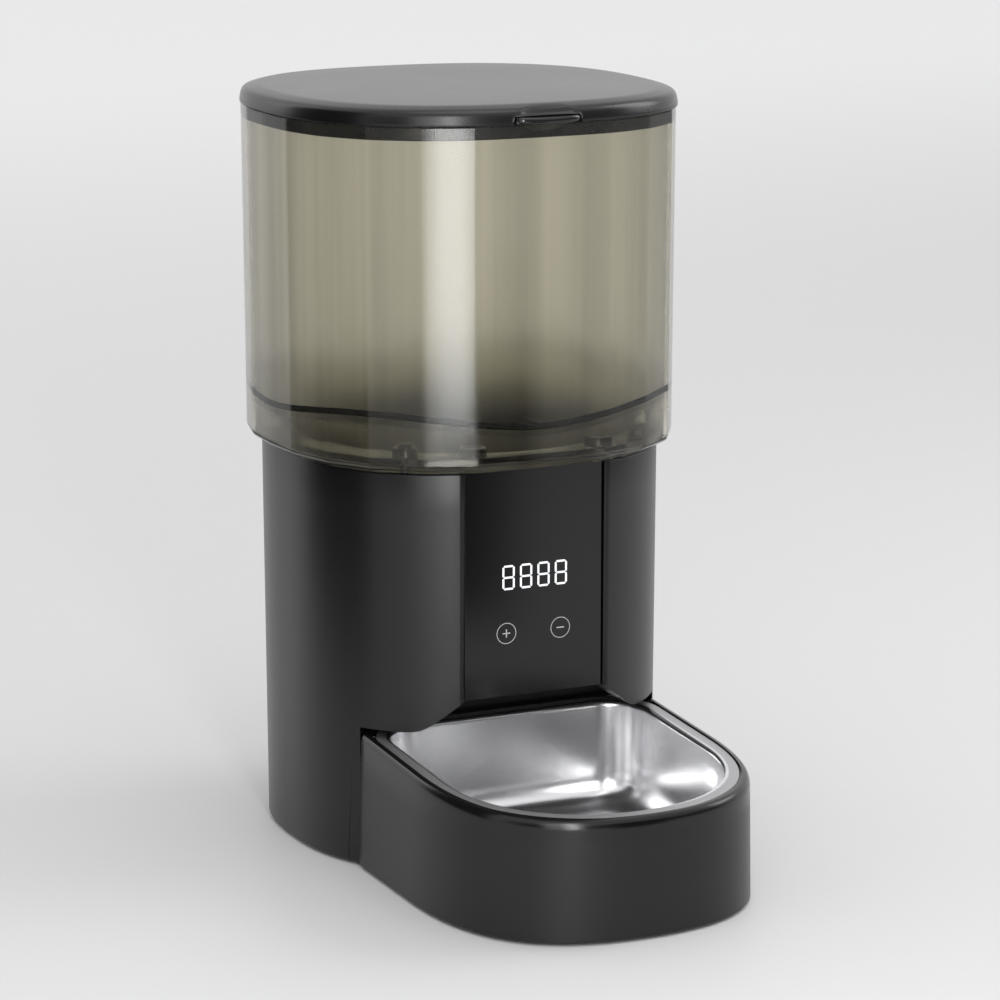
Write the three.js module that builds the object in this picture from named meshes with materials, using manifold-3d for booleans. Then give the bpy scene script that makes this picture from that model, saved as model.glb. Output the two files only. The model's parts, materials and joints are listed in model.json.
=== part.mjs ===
// Automatic pet feeder: a clear food tank over a black tower that doses
// kibble down a chute into a steel bowl, which stands in a pull-out tray.
// Millimetres, +Z up, the front of the feeder faces -Y, feet stand on Z = 0.

import * as THREE from 'three';
import { mergeVertices } from 'three/addons/utils/BufferGeometryUtils.js';
import Module from 'manifold-3d';

const wasm = await Module();
wasm.setup();

// ---------------------------------------------------------------- dimensions
const GAP = 0.3; // clearance between touching pieces
const FEET = [[64, -8], [-64, -8], [44, 58], [-44, 58]];
const TRAY_FEET = [[58, -66], [-58, -66], [40, -160], [-40, -160]];
const FOOT_HEIGHT = 1.5; // rubber feet lift the shells off the floor
const TAU = Math.PI * 2;
const RADIANS = Math.PI / 180;

// plan of tank, lid and tower: a rounded square |x|^n + |y|^n = a^n
const PLAN_POWER = 2.448;
const PLAN_STEPS = 40;
const FACET_FRONT = 19 * RADIANS; // half of the wide front and rear facets
const FACETS_PER_SIDE = 10;

// tank and lid
const TANK_HALF = 90;
const TANK_FOOT_HALF = 89.3;
const TANK_BOTTOM = 174.7;
const BASE_RIM_TOP = 178.5;
const BASE_STEP_TOP = 181.5;
const TANK_TOP = 320.3;
const TANK_WALL = 2.2;
const LID_HALF = 90.5;
const LID_TOP = 328.7;
const LID_ROUNDING = 5;
const SKIRT_HALF = 84.5;
const SKIRT_BOTTOM = 314.5;
const CONE_SLOPE = Math.tan(40.2 * RADIANS);
const CONE_RIM_RADIUS = 88;
const CONE_RIM_HEIGHT = 194.7;
const CONE_WALL = 2;
const NECK_RADIUS = 42;
const NECK_BOTTOM = 151.3;
const WAVE_SEAL_HEIGHT = 2.15;

// tower
const TOWER_FOOT_HALF = 82.1;
const TOWER_TOP_HALF = 83;
const TOWER_TOP = TANK_BOTTOM - GAP;
const TOWER_WALL = 2.5;
const PANEL_HALF = 33;
const PANEL_FACE = -76.9;
const PANEL_THICK = 2;
const PANEL_BOTTOM = 75.5;
const LEDGE_FACE = PANEL_FACE + PANEL_THICK + GAP;
const LEDGE_BACK = LEDGE_FACE + 2.5;
const DISPLAY_HEIGHT = 127.25; // middle of the four digits
const KEY_HEIGHT = 103; // middle of the two touch keys
const KEY_SPREAD = 12.7;
const BOARD_FRONT = LEDGE_BACK + 3.8;
const BOARD_THICK = 1.6;

// bay that takes the tray, and the mouth above it
const BAY_FOOT_HALF = 72.4;
const BAY_TOP_HALF = 70.5;
const BAY_TOP = 62;
const BAY_BACK = -36;
const MOUTH_HALF = 33.5;
const MOUTH_FOOT_HALF = 50;

// dosing works inside the tower
const PAN_RADIUS = 46;
const PAN_WALL = 2.5;
const PAN_FLOOR = 121.5;
const PAN_TOP = 148.5;
const EXIT_HALF_ANGLE = 30 * RADIANS;
const EXIT_INNER = 21;
const VANES = 6;
const CHUTE_HALF = 30;
const CHUTE_WALL = 2;
const CHUTE_SLOPE = Math.tan(40 * RADIANS);
const CHUTE_LIP = new THREE.Vector2(-53, 78.5);
const SHAFT_RADIUS = 4;

// gears: module 1 mm, 20 degree pressure angle
const GEAR_MODULE = 1;
const PRESSURE_ANGLE = 20 * RADIANS;
const BACKLASH = 0.17;
const OUTPUT_TEETH = 36;
const IDLER_SMALL_TEETH = 12;
const IDLER_LARGE_TEETH = 30;
const PINION_TEETH = 10;
const IDLER_Y = (OUTPUT_TEETH + IDLER_SMALL_TEETH) * GEAR_MODULE / 2;
const PINION_Y = IDLER_Y + (IDLER_LARGE_TEETH + PINION_TEETH) * GEAR_MODULE / 2;
const GEARBOX_BOTTOM = 84;
const GEARBOX_TOP = 96.5;
const GEAR_FLOOR = 87;
const GEAR_SPLIT = 92;

// base, batteries and tray
const BASE_THICK = 3;
const BASE_FRONT = BAY_BACK + TOWER_WALL + GAP;
const CELL_RADIUS = 17;
const CELL_LENGTH = 61.5;
const CELL_PITCH = 34.6;
const CELL_Y = 2.8;
const TUB_HALF = 53;
const TUB_FRONT = -31.2;
const TUB_BACK = 38.4;
const TUB_ROOF = 39.6;
const TUB_WALL = 1.8;
const DOOR_HALF = 50.5;
const DOOR_FRONT = TUB_FRONT + GAP;
const DOOR_BACK = 33;
const DOOR_TRAVEL = 5;
const TRAY_HALF = 71.7;
const TRAY_FRONT = -189.5;
const TRAY_SIDE_BACK = -53.5;
const TRAY_NECK_HALF = 69;
const TRAY_NECK_BACK = -38;
const TRAY_TOP = 59.5;
const TRAY_SIDE_LEAN = 1.4;
const RIM_SLOPE = 0.055;
const RIM_LEVEL_Y = -57;
const TRAY_CORNER = 81;
const BOWL_HALF = 60.2;
const BOWL_BACK = -48.6;
const BOWL_CORNER = 18;
const BOWL_FRONT = -178.6;
const BOWL_FLANGE = 6.4;
const BOWL_BOTTOM = 13.5;
const BOWL_ROUNDING = 14;
const BOWL_SHEET = 1;
const DECK_THICK = 2.5;

const OVERALL_BACK = LID_HALF;
const AXIS_Y = -(TRAY_FRONT + OVERALL_BACK) / 2; // tower axis in the part's frame

// ----------------------------------------------------------------- materials
const finish = (color, roughness, metalness = 0) => ({ color, roughness, metalness });
const BLACK_MATT = finish(0x2b2b2c, 0.55);
const BLACK_GLOSS = finish(0x161617, 0.12);
const SMOKE_CLEAR = finish(0x7c7a68, 0.15);
const RUBBER = finish(0x121212, 0.85);
const STEEL = finish(0xc9cacb, 0.2, 1);
const DARK_STEEL = finish(0x8a8b8c, 0.35, 1);
const NATURAL_NYLON = finish(0xe6e2d6, 0.5);
const GREY_PLASTIC = finish(0x6c6e70, 0.6);
const SILICONE = finish(0x9aa0a3, 0.75);
const CIRCUIT_GREEN = finish(0x1f5a3a, 0.5);
const CELL_JACKET = finish(0x2f4f7a, 0.4);
const COPPER = finish(0xb8793f, 0.35, 1);
const WIRE_RED = finish(0x9c2a24, 0.6);

// ------------------------------------------------------------------- helpers
function toSolid(geometry) {
  const bare = geometry.index ? geometry.toNonIndexed() : geometry.clone();
  bare.deleteAttribute('normal');
  bare.deleteAttribute('uv');
  const merged = mergeVertices(bare, 1e-4);
  return new wasm.Manifold(new wasm.Mesh({
    numProp: 3,
    vertProperties: Float32Array.from(merged.attributes.position.array),
    triVerts: Uint32Array.from(merged.index.array),
  }));
}

function toGeometry(solid) {
  const mesh = solid.getMesh();
  const geometry = new THREE.BufferGeometry();
  geometry.setAttribute('position', new THREE.BufferAttribute(Float32Array.from(mesh.vertProperties), 3));
  geometry.setIndex(new THREE.BufferAttribute(Uint32Array.from(mesh.triVerts), 1));
  geometry.computeVertexNormals();
  return geometry;
}

function join(...geometries) {
  return geometries.map(toSolid).reduce((sum, next) => sum.add(next));
}

// a block between two corners
function box(x0, x1, y0, y1, z0, z1) {
  const block = new THREE.BoxGeometry(x1 - x0, y1 - y0, z1 - z0);
  return block.translate((x0 + x1) / 2, (y0 + y1) / 2, (z0 + z1) / 2);
}

// an upright round bar
function post(x, y, radius, z0, z1, sides = 16) {
  const bar = new THREE.CylinderGeometry(radius, radius, z1 - z0, sides);
  return bar.rotateX(Math.PI / 2).translate(x, y, (z0 + z1) / 2);
}

// a round bar lying along Y
function barAlongY(x, z, radius, y0, y1, sides = 16) {
  return new THREE.CylinderGeometry(radius, radius, y1 - y0, sides).translate(x, (y0 + y1) / 2, z);
}

// an upright prism over a plan
function prism(shape, z0, z1) {
  const bar = new THREE.ExtrudeGeometry(shape, { depth: z1 - z0, bevelEnabled: false, curveSegments: 8 });
  return bar.translate(0, 0, z0);
}

// a prism along X over a side view drawn as (y, z)
function prismAlongX(outline, x0, x1) {
  const shape = new THREE.Shape(outline.map(([y, z]) => new THREE.Vector2(y, z)));
  const bar = new THREE.ExtrudeGeometry(shape, { depth: x1 - x0, bevelEnabled: false });
  return bar.rotateY(Math.PI / 2).rotateX(Math.PI / 2).translate(x0, 0, 0);
}

// a prism along Y over a front view drawn as (x, z)
function prismAlongY(shape, y0, y1) {
  const bar = new THREE.ExtrudeGeometry(shape, { depth: y1 - y0, bevelEnabled: false, curveSegments: 6 });
  return bar.rotateX(Math.PI / 2).translate(0, y1, 0);
}

// radius of the rounded square in the direction of a polar angle from the front
function planRadius(half, angle) {
  const side = Math.abs(Math.sin(angle)) ** PLAN_POWER;
  const front = Math.abs(Math.cos(angle)) ** PLAN_POWER;
  return half * (side + front) ** (-1 / PLAN_POWER);
}

function planPoint(half, angle) {
  const radius = planRadius(half, angle);
  return new THREE.Vector2(radius * Math.sin(angle), -radius * Math.cos(angle));
}

function roundPlan(half, steps = PLAN_STEPS) {
  const points = [];
  for (let i = 0; i < steps; i += 1) points.push(planPoint(half, (i + 0.5) * TAU / steps));
  return new THREE.Shape(points);
}

function facetPlan(half) {
  const step = (Math.PI - 2 * FACET_FRONT) / FACETS_PER_SIDE;
  const points = [];
  for (let i = 0; i <= FACETS_PER_SIDE; i += 1) points.push(planPoint(half, FACET_FRONT + i * step));
  for (let i = 0; i <= FACETS_PER_SIDE; i += 1) {
    points.push(planPoint(half, Math.PI + FACET_FRONT + i * step));
  }
  return new THREE.Shape(points);
}

// lets the walls of an upright piece lean, from one half width to another
function lean(geometry, z0, half0, z1, half1) {
  const place = geometry.attributes.position;
  for (let i = 0; i < place.count; i += 1) {
    const along = (place.getZ(i) - z0) / (z1 - z0);
    const scale = THREE.MathUtils.lerp(half0, half1, along) / half0;
    place.setXY(i, place.getX(i) * scale, place.getY(i) * scale);
  }
  return geometry;
}

// the tower's outside, or its inside when drawn inward
function towerForm(inward, z0, z1) {
  const foot = TOWER_FOOT_HALF - inward;
  const top = TOWER_TOP_HALF - inward;
  return lean(prism(roundPlan(foot), z0, z1), 0, foot, TOWER_TOP, top);
}

function tankForm(inward, z0, z1) {
  const foot = TANK_FOOT_HALF - inward;
  const top = TANK_HALF - inward;
  return lean(prism(facetPlan(foot), z0, z1), TANK_BOTTOM, foot, TANK_TOP, top);
}

function turned(profile, steps = 40) {
  const points = profile.map(([r, z]) => new THREE.Vector2(r, z));
  return new THREE.LatheGeometry(points, steps).rotateX(Math.PI / 2);
}

function boltDown(x, y, z, length, headRadius = 2.8, shankRadius = 1.4) {
  const profile = [
    [0, 0], [headRadius, 0], [headRadius, 0.7], [shankRadius, 1.4], [shankRadius, length], [0, length],
  ];
  const bolt = toSolid(turned(profile, 10));
  return toGeometry(bolt.subtract(toSolid(box(-1.8, 1.8, -0.35, 0.35, -1, 0.6))).translate([x, y, z]));
}

const parts = {};
function part(bodyName, name, geometry, look) {
  const material = new THREE.MeshStandardMaterial(look);
  if (look === SMOKE_CLEAR) {
    material.transparent = true;
    material.opacity = 0.45;
  }
  const mesh = new THREE.Mesh(geometry, material);
  mesh.name = name;
  parts[bodyName] = parts[bodyName] ?? new THREE.Group();
  parts[bodyName].name = bodyName;
  parts[bodyName].add(mesh);
  return mesh;
}

// ----------------------------------------------------------------------- lid
const LATCH_HALF = 14;
const LATCH_LEG_FRONT = -84.6;
const LATCH_TOP = 323.5;

function lidCover() {
  const straight = LID_TOP - TANK_TOP - GAP;
  const cap = new THREE.ExtrudeGeometry(roundPlan(LID_HALF), {
    depth: straight, bevelThickness: LID_ROUNDING, bevelSize: LID_ROUNDING, bevelOffset: -LID_ROUNDING,
    bevelSegments: 3,
  }).translate(0, 0, LID_TOP - LID_ROUNDING - straight);
  const bottom = TANK_TOP + GAP;
  let lid = toSolid(cap).subtract(toSolid(box(-99, 99, -99, 99, 280, bottom)));
  lid = lid.subtract(toSolid(prism(roundPlan(86), bottom - 1, LID_TOP - 2.4)));
  const skirt = toSolid(prism(facetPlan(SKIRT_HALF), SKIRT_BOTTOM, LID_TOP - 2))
    .subtract(toSolid(prism(facetPlan(SKIRT_HALF - 2.2), SKIRT_BOTTOM - 1, LID_TOP - 2.4)));
  lid = lid.add(skirt);
  const guides = join(box(-16.4, -14.4, -84, -66, bottom, 327), box(14.4, 16.4, -84, -66, bottom, 327),
    box(-16.4, 16.4, -68, -66, bottom, 327));
  lid = lid.add(guides);
  lid = lid.subtract(toSolid(box(-14.4, 14.4, -99, -76.5, bottom - 1, LATCH_TOP + GAP)));
  lid = lid.subtract(toSolid(box(-2.6, 2.6, -80, -68, bottom - 1, LATCH_TOP + GAP)));
  lid = lid.subtract(toSolid(box(-7, 7, -87, -78, 316.6, bottom + 1)));
  const scoop = new THREE.SphereGeometry(1, 16, 10)
    .scale(12, 2.2, 2.4).translate(0, -LID_HALF - 0.2, 325.3);
  return toGeometry(lid.subtract(toSolid(scoop)));
}

function lidSeal() {
  const low = SKIRT_BOTTOM + 0.1;
  const ring = toSolid(prism(facetPlan(87.3), low, low + 1.9));
  return toGeometry(ring.subtract(toSolid(prism(facetPlan(SKIRT_HALF + GAP), low - 1, low + 3))));
}

// push button: crescent lip in front, leg and nose that hold inside the tank
function lidLatch() {
  const lip = new THREE.Shape();
  lip.moveTo(-LATCH_HALF, -86);
  lip.lineTo(-LATCH_HALF, -89.6);
  lip.quadraticCurveTo(0, -94.6, LATCH_HALF, -89.6);
  lip.lineTo(LATCH_HALF, -86);
  const plate = join(prism(lip, TANK_TOP + 0.6, LATCH_TOP),
    box(-LATCH_HALF, LATCH_HALF, -86.5, -79.2, TANK_TOP + 0.6, LATCH_TOP));
  const leg = toSolid(box(-6, 6, LATCH_LEG_FRONT, LATCH_LEG_FRONT + 1.8, 317.2, 322));
  const nose = toSolid(box(-5, 5, LATCH_LEG_FRONT - 0.4, LATCH_LEG_FRONT + 0.5, 317.2, 318.6));
  return toGeometry(plate.add(leg).add(nose));
}

part('lid', 'lid_cover', lidCover(), BLACK_MATT);
part('lid', 'lid_seal', lidSeal(), RUBBER);
part('latch', 'lid_latch', lidLatch(), BLACK_GLOSS);
part('lid', 'latch_spring', barAlongY(0, 322.2, 1.4, -78.9, -68.3, 12), DARK_STEEL);

// ---------------------------------------------------------------------- tank
const coneHeight = (radius) => CONE_RIM_HEIGHT - CONE_SLOPE * (CONE_RIM_RADIUS - radius);
const coneDrop = CONE_WALL * Math.hypot(1, CONE_SLOPE);

function tankWall() {
  const wall = toSolid(tankForm(0, BASE_RIM_TOP + GAP, TANK_TOP));
  const hollow = toSolid(tankForm(TANK_WALL, BASE_RIM_TOP - 1, TANK_TOP + 2));
  return toGeometry(wall.subtract(hollow));
}

function funnel() {
  const far = 100;
  const cone = turned([
    [NECK_RADIUS, NECK_BOTTOM], [NECK_RADIUS + CONE_WALL, NECK_BOTTOM],
    [NECK_RADIUS + CONE_WALL, coneHeight(NECK_RADIUS + CONE_WALL) - coneDrop],
    [far, coneHeight(far) - coneDrop], [far, coneHeight(far)],
    [NECK_RADIUS, coneHeight(NECK_RADIUS)], [NECK_RADIUS, NECK_BOTTOM],
  ], 36);
  const inside = toSolid(tankForm(TANK_WALL + GAP, 150, 230));
  return toGeometry(toSolid(cone).intersect(inside));
}

// black gasket that follows the wavy edge where the cone meets the wall
function funnelSeal() {
  const near = 70;
  const far = 100;
  const band = turned([
    [near, coneHeight(near) + GAP], [far, coneHeight(far) + GAP],
    [far, coneHeight(far) + GAP + WAVE_SEAL_HEIGHT], [near, coneHeight(near) + GAP + WAVE_SEAL_HEIGHT],
    [near, coneHeight(near) + GAP],
  ], 36);
  const outer = toSolid(tankForm(TANK_WALL + GAP, 150, 230));
  const inner = toSolid(tankForm(TANK_WALL + GAP + 2, 149, 231));
  return toGeometry(toSolid(band).intersect(outer.subtract(inner)));
}

const PILLARS = [];
for (const [x, y] of [[54, 66], [29, 78]]) {
  for (const sx of [-1, 1]) {
    for (const sy of [-1, 1]) PILLARS.push([sx * x, sy * y]);
  }
}
const SCREW_PILLARS = PILLARS.slice(0, 4);

function tankBase() {
  const round = 4;
  const plate = new THREE.ExtrudeGeometry(facetPlan(TANK_FOOT_HALF), {
    depth: 10, bevelThickness: round, bevelSize: round, bevelOffset: -round, bevelSegments: 2,
  }).translate(0, 0, TANK_BOTTOM + round);
  let base = toSolid(plate).subtract(toSolid(box(-99, 99, -99, 99, BASE_RIM_TOP, 230)));
  base = base.add(toSolid(tankForm(TANK_WALL + GAP, BASE_RIM_TOP - 1, BASE_STEP_TOP)));
  for (const [x, y] of PILLARS) {
    base = base.add(toSolid(post(x, y, 5.5, BASE_STEP_TOP - 1, BASE_STEP_TOP + 4, 12)));
    base = base.add(toSolid(post(x, y, 3, BASE_STEP_TOP, BASE_STEP_TOP + 13, 8)));
  }
  const locator = toSolid(prism(roundPlan(79.5), 167, TANK_BOTTOM + 1))
    .subtract(toSolid(prism(roundPlan(77), 166, TANK_BOTTOM + 2)))
    .subtract(toSolid(box(-40, 40, -99, LEDGE_BACK + 0.8, 160, TANK_BOTTOM)));
  base = base.add(locator);
  base = base.subtract(toSolid(post(0, 0, 76.3, 160, 190, 36)));
  base = base.intersect(toSolid(belowFunnel()));
  for (const [x, y] of SCREW_PILLARS) {
    base = base.subtract(toSolid(post(x, y, 1.7, 170, BASE_STEP_TOP + 3, 16)));
    base = base.subtract(toSolid(post(x, y, 3.2, 170, TANK_BOTTOM + 2, 16)));
  }
  return toGeometry(base);
}

// everything that lies below the funnel's underside
function belowFunnel() {
  const near = NECK_RADIUS;
  return turned([
    [0, 99], [101, 99], [101, coneHeight(101) - coneDrop - GAP],
    [near, coneHeight(near) - coneDrop - GAP], [0, coneHeight(near) - coneDrop - GAP], [0, 99],
  ], 36);
}

part('tank', 'tank_wall', tankWall(), SMOKE_CLEAR);
part('tank', 'funnel', funnel(), SMOKE_CLEAR);
part('tank', 'funnel_seal', funnelSeal(), RUBBER);
part('tank', 'tank_base', tankBase(), SMOKE_CLEAR);
SCREW_PILLARS.forEach(([x, y], i) => {
  part('tank', `tank_screw_${i + 1}`, boltDown(x, y, TANK_BOTTOM + 0.1, 9), DARK_STEEL);
});

// --------------------------------------------------------------------- tower
// front view of the bay: a wide opening with a raised mouth in the middle
function bayOutline(grow) {
  const foot = BAY_FOOT_HALF + grow;
  const side = BAY_TOP_HALF + grow;
  const shoulder = BAY_TOP + grow;
  const crown = PANEL_BOTTOM + grow;
  const shape = new THREE.Shape();
  shape.moveTo(-foot, -1);
  shape.lineTo(foot, -1);
  shape.lineTo(side, shoulder);
  shape.lineTo(MOUTH_FOOT_HALF + 2, shoulder);
  shape.quadraticCurveTo(MOUTH_FOOT_HALF - 2, shoulder, MOUTH_FOOT_HALF - 4.5, shoulder + 3);
  shape.lineTo(MOUTH_HALF + 2.7, crown - 0.9);
  shape.lineTo(MOUTH_HALF, crown);
  shape.lineTo(-MOUTH_HALF, crown);
  shape.lineTo(-MOUTH_HALF - 2.7, crown - 0.9);
  shape.lineTo(-MOUTH_FOOT_HALF + 4.5, shoulder + 3);
  shape.quadraticCurveTo(-MOUTH_FOOT_HALF + 2, shoulder, -MOUTH_FOOT_HALF - 2, shoulder);
  shape.lineTo(-side, shoulder);
  return shape;
}

const BOSSES = [[74.5, -22], [-74.5, -22], [57, 57], [-57, 57]];

function towerShell() {
  const outer = toSolid(towerForm(0, FOOT_HEIGHT, TOWER_TOP));
  let inside = toSolid(towerForm(TOWER_WALL, FOOT_HEIGHT - 1, TOWER_TOP + 1));
  const bayWall = toSolid(prismAlongY(bayOutline(TOWER_WALL), -99, BAY_BACK + TOWER_WALL));
  const frontLedge = toSolid(box(-PANEL_HALF - 3, PANEL_HALF + 3, -99, LEDGE_BACK, PANEL_BOTTOM, 200));
  const deckRib = toSolid(towerForm(TOWER_WALL - 1, 143, 145.7))
    .subtract(toSolid(towerForm(TOWER_WALL + 2.5, 142, 147)))
    .subtract(toSolid(box(-99, 99, -99, -60, 140, 150)));
  inside = inside.subtract(bayWall).subtract(frontLedge).subtract(deckRib);
  for (const [x, y] of BOSSES) {
    inside = inside.subtract(toSolid(post(x, y, 5, FOOT_HEIGHT + BASE_THICK + GAP, 30)));
  }
  for (const x of [-38, 38]) {
    for (const z of [98, 139]) {
      inside = inside.subtract(toSolid(barAlongY(x, z, 2.5, -76, BOARD_FRONT - GAP, 8)));
    }
  }
  let shell = outer.subtract(inside);
  shell = shell.subtract(toSolid(prismAlongY(bayOutline(0), -99, BAY_BACK)));
  shell = shell.subtract(toSolid(box(-PANEL_HALF, PANEL_HALF, -99, LEDGE_FACE, PANEL_BOTTOM - 2, 200)));
  shell = shell.subtract(toSolid(box(-19, 19, -80, -70, DISPLAY_HEIGHT - 8, DISPLAY_HEIGHT + 8)));
  for (const x of [-KEY_SPREAD, KEY_SPREAD]) {
    shell = shell.subtract(toSolid(barAlongY(x, KEY_HEIGHT, 5.9, -80, -70)));
  }
  const half = CHUTE_HALF + 0.6;
  shell = shell.subtract(toSolid(box(-half, half, LEDGE_BACK + 0.05, -49.6, 70, 82)));
  for (const [x, y] of BOSSES) shell = shell.subtract(toSolid(post(x, y, 1.7, 0, 20, 16)));
  shell = shell.subtract(toSolid(barAlongY(0, 55, 5.5, 74, 90, 20)));
  return toGeometry(shell);
}

function displayBoard() {
  const board = join(box(-44, 44, BOARD_FRONT, BOARD_FRONT + BOARD_THICK, 94, 143),
    box(32, 42, BOARD_FRONT + 1, BOARD_FRONT + BOARD_THICK + 3, 98, 104));
  return toGeometry(board);
}

function touchPad(x) {
  const profile = [[0, LEDGE_FACE], [5.3, LEDGE_FACE], [5.3, LEDGE_FACE + 1], [2.5, LEDGE_FACE + 1],
    [2.5, BOARD_FRONT - GAP], [0, BOARD_FRONT - GAP]];
  const pad = new THREE.LatheGeometry(profile.map(([r, y]) => new THREE.Vector2(r, y)), 20);
  return pad.translate(x, 0, KEY_HEIGHT);
}

part('tower', 'tower_shell', towerShell(), BLACK_MATT);
part('tower', 'front_panel',
  box(
    -PANEL_HALF + GAP, PANEL_HALF - GAP, PANEL_FACE, PANEL_FACE + PANEL_THICK, PANEL_BOTTOM, TOWER_TOP - GAP,
  ),
  BLACK_GLOSS);
part('tower', 'display_module',
  box(-18, 18, LEDGE_FACE, BOARD_FRONT - GAP, DISPLAY_HEIGHT - 7, DISPLAY_HEIGHT + 7), GREY_PLASTIC);
part('tower', 'display_board', displayBoard(), CIRCUIT_GREEN);
part('tower', 'touch_pad_left', touchPad(-KEY_SPREAD), COPPER);
part('tower', 'touch_pad_right', touchPad(KEY_SPREAD), COPPER);

// -------------------------------------------------------------- dosing works
function sector(inner, outer, from, to, z0, z1) {
  const shape = new THREE.Shape();
  shape.absarc(0, 0, outer, from, to, false);
  shape.absarc(0, 0, inner, to, from, true);
  return prism(shape, z0, z1);
}

const FRONT = -Math.PI / 2;

function rotorPan() {
  const bottom = PAN_FLOOR - 2.5;
  let pan = toSolid(towerForm(TOWER_WALL + 0.6, PAN_TOP - 2.5, PAN_TOP));
  pan = pan.subtract(toSolid(box(-99, 99, -99, BOARD_FRONT + BOARD_THICK + 0.4, 140, 160)));
  pan = pan.add(toSolid(post(0, 0, PAN_RADIUS + PAN_WALL, bottom, PAN_TOP, 32)));
  pan = pan.subtract(toSolid(post(0, 0, PAN_RADIUS, PAN_FLOOR, PAN_TOP + 1, 32)));
  pan = pan.add(toSolid(post(0, 0, 8, 108, PAN_FLOOR - 1)));
  for (const [x, y] of [[-16, 20], [16, 20], [-9, 45], [9, 45]]) {
    pan = pan.add(toSolid(post(x, y, 3, GEARBOX_TOP + 3.4, bottom + 1, 12)));
  }
  pan = pan.subtract(toSolid(post(0, 0, SHAFT_RADIUS + 0.35, 100, 130)));
  const exit = sector(
    EXIT_INNER, PAN_RADIUS - 1, FRONT - EXIT_HALF_ANGLE, FRONT + EXIT_HALF_ANGLE, 110, 125,
  );
  return toGeometry(pan.subtract(toSolid(exit)));
}

// roof over the vanes, open only at the back, so food can't fall straight through
function rotorCover() {
  let cover = toSolid(post(0, 0, PAN_RADIUS + PAN_WALL - 0.3, PAN_TOP + GAP, PAN_TOP + 2.3, 32));
  cover = cover.subtract(toSolid(post(0, 0, SHAFT_RADIUS + 0.8, 140, 160)));
  const open = sector(13, 41, FRONT + 60 * RADIANS, FRONT + 300 * RADIANS, 140, 160);
  return toGeometry(cover.subtract(toSolid(open)));
}

function rotor() {
  const low = PAN_FLOOR + 0.6;
  const high = PAN_TOP - GAP;
  let wheel = toSolid(post(0, 0, 9, low, high));
  for (let i = 0; i < VANES; i += 1) {
    const vane = toSolid(box(-1.2, 1.2, 0, PAN_RADIUS - 0.8, low, high));
    wheel = wheel.add(vane.rotate([0, 0, (i + 0.5) * 360 / VANES]));
  }
  return toGeometry(wheel.subtract(toSolid(post(0, 0, SHAFT_RADIUS + GAP, 110, 160))));
}

function agitator() {
  const low = PAN_TOP + 2.9;
  let stir = toSolid(post(0, 0, 7, low, low + 14));
  for (const angle of [0, 120, 240]) {
    const finger = toSolid(box(-1.5, 1.5, 0, 33, low + 0.5, low + 4))
      .add(toSolid(box(-1.5, 1.5, 29, 33, low + 1, low + 12)));
    stir = stir.add(finger.rotate([0, 0, angle]));
  }
  return toGeometry(stir.subtract(toSolid(post(0, 0, SHAFT_RADIUS + GAP, 140, low + 12))));
}

function foodChute() {
  const top = PAN_FLOOR - 2.8;
  const slide = (y) => CHUTE_LIP.y + CHUTE_SLOPE * (y - CHUTE_LIP.x);
  const drop = CHUTE_WALL * Math.hypot(1, CHUTE_SLOPE);
  const back = -12;
  const front = LEDGE_BACK + 0.4;
  const duct = toSolid(prismAlongX([
    [back, top], [back, slide(back) - drop], [CHUTE_LIP.x, CHUTE_LIP.y - drop],
    [front, CHUTE_LIP.y - drop], [front, 92.5], [-66.3, 92.5], [-66.3, top],
  ], -CHUTE_HALF, CHUTE_HALF));
  const passage = toSolid(prismAlongX([
    [back - 2, top + 5], [back - 2, slide(back - 2)], [CHUTE_LIP.x, CHUTE_LIP.y],
    [CHUTE_LIP.x, 60], [front + 2, 60], [front + 2, 90.5], [-64.3, 94], [-64.3, top + 5],
  ], -CHUTE_HALF + CHUTE_WALL, CHUTE_HALF - CHUTE_WALL));
  return toGeometry(duct.subtract(passage));
}

part('tower', 'rotor_pan', rotorPan(), GREY_PLASTIC);
part('tower', 'rotor_cover', rotorCover(), GREY_PLASTIC);
part('rotor', 'rotor', rotor(), SILICONE);
part('rotor', 'agitator', agitator(), GREY_PLASTIC);
part('rotor', 'drive_shaft', post(0, 0, SHAFT_RADIUS, GEAR_FLOOR + GAP, PAN_TOP + 14), STEEL);
part('tower', 'food_chute', foodChute(), BLACK_MATT);

// -------------------------------------------------------------------- gearing
const involute = (angle) => Math.tan(angle) - angle;

// half the angle that one tooth takes up at a radius
function halfTooth(radius, pitchRadius) {
  const base = pitchRadius * Math.cos(PRESSURE_ANGLE);
  const roll = radius > base ? Math.acos(base / radius) : 0;
  const half = (Math.PI * GEAR_MODULE / 4 - BACKLASH) / pitchRadius;
  return half + involute(PRESSURE_ANGLE) - involute(roll);
}

function gear(teeth, z0, z1, turnedBy = 0) {
  const pitchRadius = teeth * GEAR_MODULE / 2;
  const rings = [pitchRadius - 1.1, pitchRadius + 0.8];
  const points = [];
  for (let i = 0; i < teeth; i += 1) {
    const middle = turnedBy + i * TAU / teeth;
    for (const r of rings) {
      const a = middle - halfTooth(r, pitchRadius);
      points.push(new THREE.Vector2(r * Math.cos(a), r * Math.sin(a)));
    }
    for (const r of [...rings].reverse()) {
      const a = middle + halfTooth(r, pitchRadius);
      points.push(new THREE.Vector2(r * Math.cos(a), r * Math.sin(a)));
    }
  }
  return prism(new THREE.Shape(points), z0, z1);
}

function outputGear() {
  const wheel = toSolid(gear(OUTPUT_TEETH, GEAR_FLOOR, GEAR_SPLIT - 0.5));
  return toGeometry(wheel.subtract(toSolid(post(0, 0, SHAFT_RADIUS + GAP, 80, 100))));
}

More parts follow.
